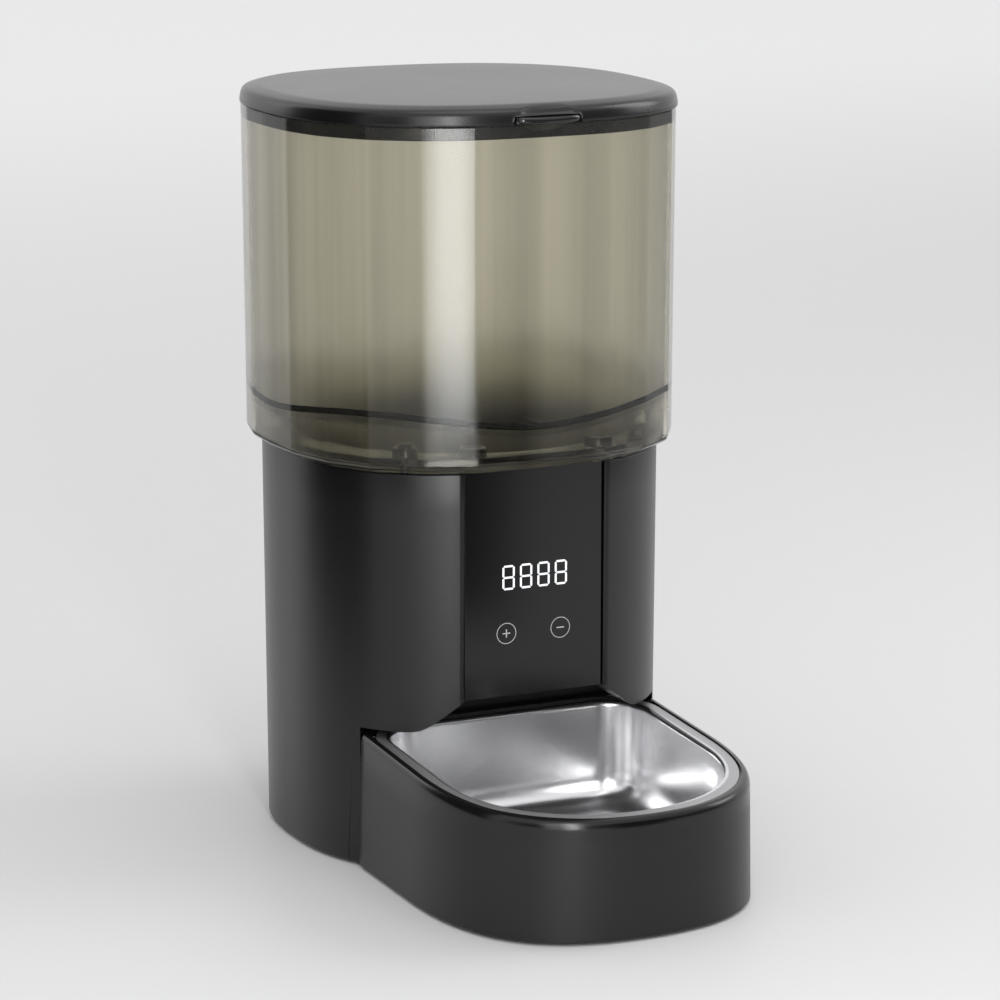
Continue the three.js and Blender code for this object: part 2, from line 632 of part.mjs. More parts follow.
function idlerGear() {
  const half = Math.PI / IDLER_SMALL_TEETH;
  const small = toSolid(gear(IDLER_SMALL_TEETH, GEAR_FLOOR, GEAR_SPLIT + 0.5, half));
  const halfTooth = Math.PI / IDLER_LARGE_TEETH;
  const large = toSolid(gear(IDLER_LARGE_TEETH, GEAR_SPLIT, GEARBOX_TOP - GAP, halfTooth));
  return toGeometry(small.add(large).subtract(toSolid(post(0, 0, 2.3, 80, 100))));
}

function pinion() {
  const teeth = toSolid(gear(PINION_TEETH, GEAR_SPLIT, GEARBOX_TOP - GAP));
  return toGeometry(teeth.add(toSolid(post(0, 0, 1.5, GEARBOX_BOTTOM, GEAR_SPLIT + 1, 12))));
}

function gearboxPlan(grow) {
  const shape = new THREE.Shape();
  shape.absarc(0, 0, 21.5 + grow, Math.PI, TAU, false);
  shape.absarc(0, PINION_Y, 17 + grow, 0, Math.PI, false);
  return shape;
}

function gearboxBase() {
  let tray = toSolid(prism(gearboxPlan(0), GEARBOX_BOTTOM, GEARBOX_TOP));
  tray = tray.subtract(toSolid(prism(gearboxPlan(-2), GEAR_FLOOR - 0.5, GEARBOX_TOP + 1)));
  tray = tray.subtract(toSolid(post(0, PINION_Y, 2, 80, 90, 16)));
  return toGeometry(tray.subtract(toSolid(post(0, IDLER_Y, 2.3, GEARBOX_BOTTOM + 1, 90, 16))));
}

function gearboxCover() {
  let plate = toSolid(prism(gearboxPlan(0), GEARBOX_TOP + GAP, GEARBOX_TOP + 2.8));
  plate = plate.subtract(toSolid(post(0, 0, SHAFT_RADIUS + 0.4, 90, 110)));
  return toGeometry(plate.subtract(toSolid(post(0, IDLER_Y, 2.3, 90, 110, 16))));
}

function motor() {
  const top = GEARBOX_BOTTOM - GAP;
  return turned([[0, top - 30], [10.5, top - 30], [12, top - 28.5], [12, top], [0, top]], 20);
}

part('rotor', 'output_gear', outputGear(), NATURAL_NYLON);
part('idler', 'idler_gear', idlerGear(), NATURAL_NYLON).position.y = IDLER_Y;
part('pinion', 'motor_pinion', pinion(), DARK_STEEL).position.y = PINION_Y;
part('tower', 'idler_pin', post(0, IDLER_Y, 2, GEARBOX_BOTTOM + 1.3, GEARBOX_TOP + 2.5, 16), STEEL);
part('tower', 'gearbox_base', gearboxBase(), GREY_PLASTIC);
part('tower', 'gearbox_cover', gearboxCover(), GREY_PLASTIC);
part('tower', 'motor', motor(), DARK_STEEL).position.y = PINION_Y;

// ------------------------------------------------------- base and electronics
const BOARD_Z = 45.7;
const TONGUES = [-24, -2, 20];

function basePlate() {
  const low = FOOT_HEIGHT;
  const high = low + BASE_THICK;
  let base = toSolid(towerForm(TOWER_WALL + GAP, low, high));
  base = base.subtract(toSolid(box(-99, 99, -99, BASE_FRONT, 0, 9)));
  base = base.add(toSolid(box(-TUB_HALF - TUB_WALL, TUB_HALF + TUB_WALL, TUB_FRONT - TUB_WALL,
    TUB_BACK + TUB_WALL, low, TUB_ROOF + TUB_WALL)));
  for (const x of [-40, 40]) {
    for (const y of [-22, 24]) base = base.add(toSolid(post(x, y, 3, TUB_ROOF, BOARD_Z - GAP, 12)));
  }
  base = base.subtract(toSolid(box(-TUB_HALF, TUB_HALF, TUB_FRONT, TUB_BACK, low + 1.2, TUB_ROOF)));
  base = base.subtract(toSolid(box(-DOOR_HALF - GAP, DOOR_HALF + GAP, TUB_FRONT, TUB_BACK, 0, low + 2)));
  for (const y of TONGUES) {
    const middle = y + DOOR_TRAVEL;
    base = base.subtract(toSolid(box(-TUB_HALF, TUB_HALF, middle - 4.4, middle + 4.4, 0, 4)));
  }
  for (const [x, y] of BOSSES) {
    base = base.subtract(toSolid(post(x, y, 1.9, 0, 9, 16)));
    base = base.subtract(toSolid(post(x, y, 3.2, 0, low + 1.8, 16)));
  }
  for (const [x, y] of FEET) base = base.subtract(toSolid(post(x, y, 7.3, 0, low + 0.8)));
  return toGeometry(base);
}

function batteryDoor() {
  const low = FOOT_HEIGHT;
  let door = toSolid(box(-DOOR_HALF, DOOR_HALF, DOOR_FRONT, DOOR_BACK, low, low + 2.7));
  for (const y of TONGUES) {
    door = door.add(toSolid(box(-TUB_HALF + 0.6, TUB_HALF - 0.6, y - 4, y + 4, low + 1.5, low + 2.7)));
  }
  for (const y of [-24, -20, -16]) {
    door = door.subtract(toSolid(box(-12, 12, y - 0.8, y + 0.8, 0, low + 0.7)));
  }
  return toGeometry(door);
}

function battery() {
  const half = CELL_LENGTH / 2;
  const profile = [[0, -half], [CELL_RADIUS - 1, -half], [CELL_RADIUS, -half + 1], [CELL_RADIUS, half - 3.5],
    [CELL_RADIUS - 1.2, half - 2.2], [4.8, half - 2.2], [4.8, half], [0, half]];
  return new THREE.LatheGeometry(profile.map(([r, y]) => new THREE.Vector2(r, y)), 16);
}

// sheet-metal strip with one nub for each cell
function contactStrip(yPlate, yNub, nubRadius) {
  const plate = box(-45, 45, Math.min(yPlate, yPlate + 0.5), Math.max(yPlate, yPlate + 0.5), 12, 32);
  let strip = toSolid(plate);
  for (const x of [-CELL_PITCH, 0, CELL_PITCH]) {
    const ends = [yPlate + 0.2, yNub];
    strip = strip.add(toSolid(barAlongY(x, 22, nubRadius, Math.min(...ends), Math.max(...ends), 12)));
  }
  return toGeometry(strip);
}

function mainBoard() {
  const top = BOARD_Z + BOARD_THICK;
  return toGeometry(join(box(-45, 45, -28, 28, BOARD_Z, top),
    box(-8, 10, -12, 6, top - 0.5, top + 2.4), box(-36, -26, -16, 2, top - 0.5, top + 9),
    box(32, 42, -24, -18, top - 0.5, top + 4), box(-24, -16, 20, 27.6, top - 0.5, top + 5),
    box(16, 24, 20, 27.6, top - 0.5, top + 5), box(20, 30, -6, 4, top - 0.5, top + 3)));
}

function powerJack() {
  const collar = barAlongY(0, 55, 5.1, 70, TOWER_FOOT_HALF + 0.1, 20);
  const body = box(-6.5, 6.5, 64, 78.9, 48.8, 61.2);
  const hole = barAlongY(0, 55, 3, 69, 90, 16);
  const pin = barAlongY(0, 55, 1, 68, 80, 10);
  return toGeometry(join(collar, body).subtract(toSolid(hole)).add(toSolid(pin)));
}

function wire(points, shape) {
  const path = new THREE.CatmullRomCurve3(points.map(([x, y, z]) => new THREE.Vector3(x, y, z)));
  return new THREE.ExtrudeGeometry(shape, {
    steps: 14, extrudePath: path, bevelEnabled: false, curveSegments: 2,
  });
}

function roundWire(radius) {
  const shape = new THREE.Shape();
  shape.absarc(0, 0, radius, 0, TAU, false);
  return shape;
}

function flatWire(wide, thick) {
  const shape = new THREE.Shape();
  shape.moveTo(-wide / 2, -thick / 2);
  shape.lineTo(wide / 2, -thick / 2);
  shape.lineTo(wide / 2, thick / 2);
  shape.lineTo(-wide / 2, thick / 2);
  return shape;
}

const footPad = (x, y, radius) => post(x, y, radius, 0, FOOT_HEIGHT + 0.5);

part('tower', 'base_plate', basePlate(), BLACK_MATT);
part('door', 'battery_door', batteryDoor(), BLACK_MATT);
[-CELL_PITCH, 0, CELL_PITCH].forEach((x, i) => {
  const cell = part('tower', `battery_${i + 1}`, battery(), CELL_JACKET);
  cell.position.set(x, CELL_Y, 22);
  cell.rotation.z = i === 1 ? Math.PI : 0;
});
part('tower', 'contact_front', contactStrip(TUB_FRONT + GAP, CELL_Y - CELL_LENGTH / 2 - GAP, 4), COPPER);
part('tower', 'contact_rear', contactStrip(TUB_BACK - 0.8, CELL_Y + CELL_LENGTH / 2 + GAP, 4), COPPER);
part('tower', 'main_board', mainBoard(), CIRCUIT_GREEN);
part('tower', 'power_jack', powerJack(), BLACK_GLOSS);
part('tower', 'power_lead', wire(
  [[3, 63.2, 53], [4, 60, 51], [16, 55, 49.6], [22, 40, 49.6], [20, 28.2, 50]],
  roundWire(1.2)), RUBBER);
part('tower', 'motor_lead', wire(
  [[0, PINION_Y, 52.8], [-1, PINION_Y, 49.6], [-10, 40, 47.6], [-19, 35, 48.6], [-20, 28.2, 50]],
  roundWire(1.2)), WIRE_RED);
part('tower', 'display_ribbon', wire([[37, -21, 51.8], [37, -23, 68], [37, -30, 84], [37, -45, 95], [37, -63.2, 101]],
  flatWire(9, 0.6)), GREY_PLASTIC);
BOSSES.forEach(([x, y], i) => {
  part('tower', `base_screw_${i + 1}`, boltDown(x, y, FOOT_HEIGHT + 0.1, 13), DARK_STEEL);
});
FEET.forEach(([x, y], i) => {
  part('tower', `tower_foot_${i + 1}`, footPad(x, y, 7), RUBBER);
});

// ---------------------------------------------------------------------- tray
// a plan with small back corners and one wide sweep across the front; a smaller
// plan keeps a near constant distance from the tray's own outline
function scoopPlan(half, back, front, backCorner) {
  const inset = TRAY_HALF - half;
  const corner = TRAY_CORNER - 1.95 * inset;
  const ease = 0.22 + 0.0155 * inset;
  const shape = new THREE.Shape();
  shape.absarc(-half + backCorner, back - backCorner, backCorner, Math.PI / 2, Math.PI, false);
  shape.lineTo(-half, front + corner);
  shape.bezierCurveTo(-half, front + corner * ease, -half * 0.59, front, 0, front);
  shape.bezierCurveTo(half * 0.59, front, half, front + corner * ease, half, front + corner);
  shape.lineTo(half, back - backCorner);
  shape.absarc(half - backCorner, back - backCorner, backCorner, 0, Math.PI / 2, false);
  return shape;
}

// tips the flat top of the tray down towards the front
function tipRim(geometry) {
  const place = geometry.attributes.position;
  const height = TRAY_TOP - FOOT_HEIGHT;
  for (let i = 0; i < place.count; i += 1) {
    const rise = (place.getZ(i) - FOOT_HEIGHT) / height;
    place.setZ(i, place.getZ(i) + rise * RIM_SLOPE * (place.getY(i) - RIM_LEVEL_Y));
  }
  geometry.computeVertexNormals();
  return geometry;
}

function leanTray(geometry) {
  return lean(geometry.translate(0, 110, 0), FOOT_HEIGHT, TRAY_HALF, TRAY_TOP, TRAY_HALF - TRAY_SIDE_LEAN)
    .translate(0, -110, 0);
}

function trayForm(inward, z0, z1) {
  const half = TRAY_HALF - inward;
  const front = TRAY_FRONT + inward;
  const broad = leanTray(prism(scoopPlan(half, TRAY_SIDE_BACK - inward, front, 1), z0, z1));
  const neckHalf = TRAY_NECK_HALF - inward;
  const neck = box(-neckHalf, neckHalf, -90, TRAY_NECK_BACK - inward, z0, z1);
  return toSolid(broad).add(toSolid(neck));
}

const bowlPlan = (grow) => scoopPlan(
  BOWL_HALF + grow, BOWL_BACK + grow, BOWL_FRONT - grow, BOWL_CORNER + grow,
);

function trayBody() {
  let tray = trayForm(0, FOOT_HEIGHT, TRAY_TOP);
  tray = tray.subtract(trayForm(2.5, FOOT_HEIGHT - 1, TRAY_TOP - 2 - DECK_THICK));
  tray = tray.subtract(toSolid(prism(bowlPlan(BOWL_SHEET + 0.6), 5, TRAY_TOP + 1)));
  tray = tray.subtract(toSolid(prism(bowlPlan(BOWL_FLANGE + 0.4), TRAY_TOP - 2, TRAY_TOP + 1)));
  return tipRim(toGeometry(tray));
}

function trayBase() {
  let plate = trayForm(2.8, FOOT_HEIGHT, FOOT_HEIGHT + 2);
  for (const [x, y] of TRAY_FEET) plate = plate.subtract(toSolid(post(x, y, 6.3, 0, FOOT_HEIGHT + 0.8)));
  return toGeometry(plate);
}

function bowl() {
  const round = BOWL_ROUNDING;
  const pressed = (grow, bottom) => new THREE.ExtrudeGeometry(bowlPlan(grow), {
    depth: 60, bevelThickness: round, bevelSize: round, bevelOffset: -round, bevelSegments: 3, curveSegments: 8,
  }).translate(0, 0, bottom + round);
  const lipTop = TRAY_TOP - 0.7;
  const above = toSolid(box(-99, 99, -220, 0, lipTop, 200));
  let pan = toSolid(pressed(BOWL_SHEET, BOWL_BOTTOM)).subtract(above);
  pan = pan.add(toSolid(prism(bowlPlan(BOWL_FLANGE), lipTop - BOWL_SHEET, lipTop)));
  return tipRim(toGeometry(pan.subtract(toSolid(pressed(0, BOWL_BOTTOM + BOWL_SHEET)))));
}


part('tray', 'tray_body', trayBody(), BLACK_MATT);
part('tray', 'tray_base', trayBase(), BLACK_MATT);
part('tray', 'bowl', bowl(), STEEL);
TRAY_FEET.forEach(([x, y], i) => {
  part('tray', `tray_foot_${i + 1}`, footPad(x, y, 6), RUBBER);
});

// --------------------------------------------------------------------- group
const group = new THREE.Group();
group.name = 'pet_feeder';
for (const body of Object.values(parts)) group.add(body);
group.position.y = AXIS_Y;

export default group;
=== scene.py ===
"""Finished look of an automatic pet feeder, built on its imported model.

The clear tank, lid, tower, tray and bowl are surfaces worked out with numpy.
Lengths in the formulas are millimetres about the tower's own axis, front at -Y;
put_in_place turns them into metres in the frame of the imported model.
"""

import json
import math

import bpy
import numpy as np
from bpy.props import FloatProperty, FloatVectorProperty, PointerProperty
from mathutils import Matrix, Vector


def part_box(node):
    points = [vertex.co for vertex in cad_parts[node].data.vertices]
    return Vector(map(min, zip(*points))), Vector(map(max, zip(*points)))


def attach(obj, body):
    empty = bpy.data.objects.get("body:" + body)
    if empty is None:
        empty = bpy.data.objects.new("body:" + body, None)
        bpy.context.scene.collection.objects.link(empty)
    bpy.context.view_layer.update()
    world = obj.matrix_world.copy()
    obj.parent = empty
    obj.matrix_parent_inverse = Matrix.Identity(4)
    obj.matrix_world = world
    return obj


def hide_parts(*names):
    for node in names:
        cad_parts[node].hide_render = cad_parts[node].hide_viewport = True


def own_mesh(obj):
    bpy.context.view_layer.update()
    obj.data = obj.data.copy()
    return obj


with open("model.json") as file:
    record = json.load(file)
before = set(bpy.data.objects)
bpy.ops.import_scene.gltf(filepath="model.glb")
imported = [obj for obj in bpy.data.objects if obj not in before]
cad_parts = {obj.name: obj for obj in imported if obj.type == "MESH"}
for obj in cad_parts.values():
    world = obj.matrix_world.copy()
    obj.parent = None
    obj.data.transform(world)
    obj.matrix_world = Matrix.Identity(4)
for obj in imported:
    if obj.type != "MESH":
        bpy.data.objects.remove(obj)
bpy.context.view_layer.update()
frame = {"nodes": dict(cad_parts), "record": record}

bl_info = {
    "name": "Pet feeder finish",
    "version": (1, 0, 0),
    "blender": (4, 5, 0),
    "location": "3D View > Sidebar > Feeder",
    "description": "Surfaces, finishes and studio for an automatic pet feeder",
    "category": "Add Mesh",
}

# ---------------------------------------------------------------- measurements


def extent(node):
    """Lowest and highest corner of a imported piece, in millimetres."""
    low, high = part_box(node)
    return np.array(low) * 1000, np.array(high) * 1000


TANK_LOW, TANK_HIGH = extent("tank_wall")
AXIS_Y = (TANK_LOW[1] + TANK_HIGH[1]) / 2
TANK_HALF = (TANK_HIGH[0] - TANK_LOW[0]) / 2
TANK_BOTTOM = extent("tower_shell")[1][2] + 0.3
TOWER_LOW, TOWER_HIGH = extent("tower_shell")
TOWER_TOP_HALF = (TOWER_HIGH[0] - TOWER_LOW[0]) / 2
LID_LOW, LID_HIGH = extent("lid_cover")
LID_HALF = (LID_HIGH[0] - LID_LOW[0]) / 2
LATCH_HALF = extent("lid_latch")[1][0]
LATCH_TOP = extent("lid_latch")[1][2]
LATCH_MIDDLE = -90.6
PANEL_LOW, PANEL_HIGH = extent("front_panel")
PANEL_FACE = PANEL_LOW[1] - AXIS_Y
PANEL_HALF = PANEL_HIGH[0]
TRAY_LOW, TRAY_HIGH = extent("tray_body")
TRAY_HALF = TRAY_HIGH[0]
TRAY_FRONT = TRAY_LOW[1] - AXIS_Y
TRAY_BACK = TRAY_HIGH[1] - AXIS_Y
DISPLAY_LOW, DISPLAY_HIGH = extent("display_module")
KEY_LOW, KEY_HIGH = extent("touch_pad_right")

PLAN_POWER = 2.448  # plan of tank, lid and tower: |x|^p + |y|^p = half^p
INNER_POWER = 2.55
FACET_FRONT = math.radians(19)
FACETS_PER_SIDE = 10
FACET_BOW = 0.0075
EDGE_ROUND = math.radians(0.3)  # half the width of the small round on a facet edge
DRAFT = 0.7 / 145.6  # the tank widens this much for each millimetre up
CONE_SLOPE = math.tan(math.radians(40.2))
CONE_RIM_RADIUS = 88.0
CONE_RIM_HEIGHT = 194.7
FUNNEL_NECK = 42.0
FUNNEL_SHEET = 2.0
BAY_TOP = 62.0
MOUTH_TOP = PANEL_LOW[2]
MOUTH_HALF = 33.5
MOUTH_FOOT_HALF = 50.0
BAY_BACK = -36.0
BAY_EDGE_FOOT = 72.4  # half width of the opening at the floor and under the mouth
BAY_EDGE_TOP = 70.5
RIM_SLOPE = 0.055
RIM_LEVEL_Y = -57.0
RIM_HEIGHT = 59.5
BOWL_FLOOR = 14.5
BOWL_LIP = 57.3  # above the foot of the shell
TRAY_NECK_HALF = 69.0
TRAY_SHOULDER = -53.3  # in front of this the tray is as wide as it shows
SHELL_BOTTOM = 1.5


# --------------------------------------------------------------- mesh building


def put_in_place(points):
    """Millimetres about the tower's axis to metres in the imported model's frame."""
    placed = np.asarray(points, float).copy()
    placed[..., 1] += AXIS_Y
    return placed * 0.001


def grid_faces(rows, columns, close_rows, close_columns, first=0):
    """Quads of a grid of points, wrapping round where asked."""
    r = np.arange(rows if close_rows else rows - 1)
    c = np.arange(columns if close_columns else columns - 1)
    i, j = np.meshgrid(r, c, indexing="ij")
    i2, j2 = (i + 1) % rows, (j + 1) % columns
    quads = np.stack([i * columns + j, i * columns + j2, i2 * columns + j2, i2 * columns + j], -1)
    return quads.reshape(-1, 4) + first


def enclosed_volume(mesh):
    """Signed volume in cubic metres: the sum over the triangles of a . (b x c) / 6, with the
    corners measured from the mesh's middle. It is negative when the faces look inward."""
    mesh.calc_loop_triangles()
    corners = np.empty(len(mesh.loop_triangles) * 3, np.int32)
    mesh.loop_triangles.foreach_get("vertices", corners)
    points = np.empty(len(mesh.vertices) * 3, np.float32)
    mesh.vertices.foreach_get("co", points)
    points = points.reshape(-1, 3).astype(float)
    a, b, c = (points - points.mean(0))[corners.reshape(-1, 3)].transpose(1, 0, 2)
    return float((a * np.cross(b, c)).sum() / 6)


def make_mesh(name, points, faces, sharp_degrees=32):
    """A mesh object from points in millimetres and a list of face arrays."""
    mesh = bpy.data.meshes.new(name)
    listed = [face for block in faces for face in np.asarray(block).tolist()]
    mesh.from_pydata(put_in_place(points).tolist(), [], listed)
    mesh.validate()
    if enclosed_volume(mesh) < -1e-10:
        mesh.flip_normals()
    mesh.polygons.foreach_set("use_smooth", np.ones(len(mesh.polygons), bool))
    mesh.set_sharp_from_angle(angle=math.radians(sharp_degrees))
    mesh.update()
    piece = bpy.data.objects.new(name, mesh)
    bpy.context.scene.collection.objects.link(piece)
    return piece


def make_ring(name, rows, sharp_degrees=32):
    """A closed ring: each row is one loop round the piece, and the last row joins the first."""
    count, around = rows.shape[:2]
    return make_mesh(name, rows.reshape(-1, 3), [grid_faces(count, around, True, True)], sharp_degrees)


def make_capped(name, rows, sharp_degrees=32):
    """A closed skin: rows of loops, with the first and the last closed to a middle point."""
    count, around = rows.shape[:2]
    points = np.vstack([rows.reshape(-1, 3), rows[0].mean(0), rows[-1].mean(0)])
    j = np.arange(around)
    j2 = (j + 1) % around
    start = np.stack([j2, j, np.full(around, count * around)], -1)
    last = (count - 1) * around
    end = np.stack([last + j, last + j2, np.full(around, count * around + 1)], -1)
    return make_mesh(name, points, [grid_faces(count, around, False, True), start, end], sharp_degrees)


def store(piece, name, rows, around):
    """Stores one number for each loop of the mesh on all points of that loop. The two middle
    points of a capped piece take the numbers of the first and the last loop."""
    values = np.repeat(rows, around)
    if len(piece.data.vertices) > len(values):
        values = np.append(values, [rows[0], rows[-1]])
    layer = piece.data.attributes.new(name, "FLOAT", "POINT")
    layer.data.foreach_set("value", values.astype(np.float32))


def merge_pieces(name, pieces):
    """Joins simple pieces, given as (points, faces), into one object."""
    points, faces, first = [], [], 0
    for cloud, block in pieces:
        points.append(cloud)
        faces += [np.asarray(part) + first for part in block]
        first += len(cloud)
    return make_mesh(name, np.vstack(points), faces)


def round_profile(corners, closed=True, steps=4):
    """A polyline with its corners rounded: each corner is (a, b, radius), and the arc is
    the quadratic curve between the two points where the radius would touch."""
    corners = np.asarray(corners, float)
    count = len(corners)
    out = []
    for k in range(count):
        here, radius = corners[k, :2], corners[k, 2]
        if radius <= 0 or (not closed and k in (0, count - 1)):
            out.append(here[None])
            continue
        before = corners[k - 1, :2] - here
        after = corners[(k + 1) % count, :2] - here
        lb, la = np.linalg.norm(before), np.linalg.norm(after)
        turn = math.acos(np.clip(before @ after / (lb * la), -1, 1))
        reach = min(radius / math.tan(turn / 2), lb * 0.49, la * 0.49)
        a, b = here + before / lb * reach, here + after / la * reach
        t = np.linspace(0, 1, steps + 1)[:, None]
        out.append((1 - t) ** 2 * a + 2 * (1 - t) * t * here + t**2 * b)
    return np.vstack(out)


# ----------------------------------------------------------------- plan curves


def power_radius(angle, half_x, half_y, power):
    """Polar radius of |x/half_x|^p + |y/half_y|^p = 1, the angle measured from the front."""
    side = (np.abs(np.sin(angle)) / half_x) ** power
    front = (np.abs(np.cos(angle)) / half_y) ** power
    return (side + front) ** (-1 / power)


def polar_loop(radius, angle):
    """Points (x, y) at a polar radius and an angle from the front."""
    return np.stack([radius * np.sin(angle), -radius * np.cos(angle)], -1)


def facet_angles():
    """Polar angles of the tank's 22 vertical edges, and the angles of all mesh columns."""
    step = (math.pi - 2 * FACET_FRONT) / FACETS_PER_SIDE
    side = FACET_FRONT + np.arange(FACETS_PER_SIDE + 1) * step
    corners = np.concatenate([side, side + math.pi])
    gaps = np.diff(np.append(corners, corners[0] + 2 * math.pi))
    between = np.linspace(0.08, 0.92, 9)
    columns = [c + np.concatenate([[-EDGE_ROUND, 0, EDGE_ROUND], between * g]) for c, g in zip(corners, gaps)]
    return corners, np.sort(np.concatenate(columns) % (2 * math.pi))


CORNERS, FACET_COLUMNS = facet_angles()


def facet_radius(angle, half, bow=FACET_BOW):
    """Polar radius of the 22-sided outline: between neighbouring corners that lie on the power
    curve runs the chord, bowed out by a share of its length at its middle (a parabola), and
    rounded a little where two chords meet."""
    corners = np.concatenate([[CORNERS[-1] - 2 * math.pi], CORNERS, [CORNERS[0] + 2 * math.pi]])
    radii = power_radius(corners, half, half, PLAN_POWER)
    at = polar_loop(radii, corners)
    k = np.clip(np.searchsorted(corners, angle, side="right") - 1, 0, len(corners) - 2)
    a, b = at[k], at[k + 1]
    ray = polar_loop(1.0, angle)
    edge = b - a
    radius = (a[..., 0] * edge[..., 1] - a[..., 1] * edge[..., 0]) / (
        ray[..., 0] * edge[..., 1] - ray[..., 1] * edge[..., 0])
    share = (angle - corners[k]) / (corners[k + 1] - corners[k])
    radius = radius + bow * np.hypot(edge[..., 0], edge[..., 1]) * 4 * share * (1 - share)
    near = np.min(np.abs(angle[..., None] - corners), -1)
    return radius - 0.05 * np.clip(1 - near / EDGE_ROUND, 0, 1)


# ----------------------------------------------------------------- shader maths


class Wire:
    """One output of a shader tree; arithmetic on it adds Math nodes."""

    def __init__(self, finish, socket):
        self.finish = finish
        self.socket = socket

    def _math(self, operation, first, second):
        node = self.finish.node("ShaderNodeMath", {"operation": operation}, {0: first, 1: second})
        return Wire(self.finish, node.outputs[0])

    def __add__(self, other):
        return self._math("ADD", self, other)

    def __radd__(self, other):
        return self._math("ADD", other, self)

    def __sub__(self, other):
        return self._math("SUBTRACT", self, other)

    def __rsub__(self, other):
        return self._math("SUBTRACT", other, self)

    def __mul__(self, other):
        return self._math("MULTIPLY", self, other)

    def __rmul__(self, other):
        return self._math("MULTIPLY", other, self)

    def band(self, low, high):
        """0 below low, 1 above high, and smooth between."""
        node = self.finish.node("ShaderNodeMapRange", {"interpolation_type": "SMOOTHSTEP"},
                                {0: self, 1: low, 2: high, 3: 0.0, 4: 1.0})
        return Wire(self.finish, node.outputs[0])


class Finish:
    """A material and the nodes that feed its one Principled shader."""

    def __init__(self, name, **fixed):
        self.material = bpy.data.materials.new(name)
        self.material.use_nodes = True
        self.tree = self.material.node_tree
        self.shader = self.tree.nodes["Principled BSDF"]
        for socket, value in fixed.items():
            self.shader.inputs[socket.replace("_", " ")].default_value = value
        coordinates = self.node("ShaderNodeTexCoord", {}, {})
        self.place = Wire(self, coordinates.outputs["Object"])

    def node(self, kind, settings, sockets):
        """Adds a node: its settings are set first, then each socket's value or link."""
        made = self.tree.nodes.new(kind)
        for key, value in settings.items():
            setattr(made, key, value)
        for key, value in sockets.items():
            if isinstance(value, Wire):
                self.tree.links.new(value.socket, made.inputs[key])
            else:
                made.inputs[key].default_value = value
        return made

    def stretched(self, scale):
        """Object coordinates scaled differently along X, Y and Z."""
        node = self.node("ShaderNodeMapping", {}, {"Vector": self.place, "Scale": scale})
        return Wire(self, node.outputs[0])

    def noise(self, scale, detail=3.0, rough=0.5, place=None):
        node = self.node("ShaderNodeTexNoise", {},
                         {"Vector": place or self.place, "Scale": scale, "Detail": detail,
                          "Roughness": rough})
        return Wire(self, node.outputs[0])

    def cells(self, scale, place=None):
        node = self.node("ShaderNodeTexVoronoi", {}, {"Vector": place or self.place, "Scale": scale})
        return Wire(self, node.outputs[0])

    def axis(self, letter):
        """One coordinate of the place, in metres."""
        node = self.node("ShaderNodeSeparateXYZ", {}, {0: self.place})
        return Wire(self, node.outputs[letter])

    def attribute(self, name):
        """A number stored on the mesh."""
        node = self.node("ShaderNodeAttribute", {"attribute_name": name}, {})
        return Wire(self, node.outputs["Fac"])

    def blend(self, factor, first, second):
        """A colour between two colours."""
        node = self.node("ShaderNodeMix", {"data_type": "RGBA"}, {0: factor, 6: rgba(first), 7: rgba(second)})
        return Wire(self, node.outputs[2])

    def feed(self, socket, wire):
        self.tree.links.new(wire.socket, self.shader.inputs[socket])
        return self

    def bump(self, height, distance, strength=1.0):
        """Feeds the shader's Normal from a height in units of distance, in metres."""
        node = self.node("ShaderNodeBump", {}, {"Height": height, "Distance": distance, "Strength": strength})
        self.tree.links.new(node.outputs[0], self.shader.inputs["Normal"])
        return self


def rgba(colour):
    return colour if isinstance(colour, Wire) else (*tuple(colour)[:3], 1.0)


def moulded_black(name, colour, gloss, grain=0.000012, spread=0.06, shine=0.5):
    """Satin moulded plastic: fine spark grain, faint cloudiness in gloss and shade. Where the
    mesh holds a polish value the surface is smoother."""
    f = Finish(name, Specular_IOR_Level=shine)
    cloud = f.noise(14.0, 4.0, 0.6)
    fine = f.cells(2600.0)
    dark = tuple(c * 0.86 for c in colour)
    light = tuple(c * 1.12 for c in colour)
    f.feed("Base Color", f.blend(cloud, dark, light))
    f.feed("Roughness", gloss - spread / 2 + cloud * spread + fine * 0.03 - f.attribute("polish") * 0.16)
    f.bump(fine + f.noise(900.0) * 0.6, grain)
    return f.material


def gloss_black(name, colour, gloss=0.07):
    """Polished black plastic with faint wiping haze."""
    f = Finish(name, Specular_IOR_Level=0.5)
    haze = f.noise(9.0, 5.0, 0.6, f.stretched((1.0, 1.0, 0.25)))
    f.feed("Base Color", f.blend(haze, tuple(c * 0.8 for c in colour), tuple(c * 1.2 for c in colour)))
    f.feed("Roughness", gloss + haze.band(0.5, 0.8) * 0.05)
    f.bump(f.noise(60.0, 2.0), 0.00001)
    return f.material


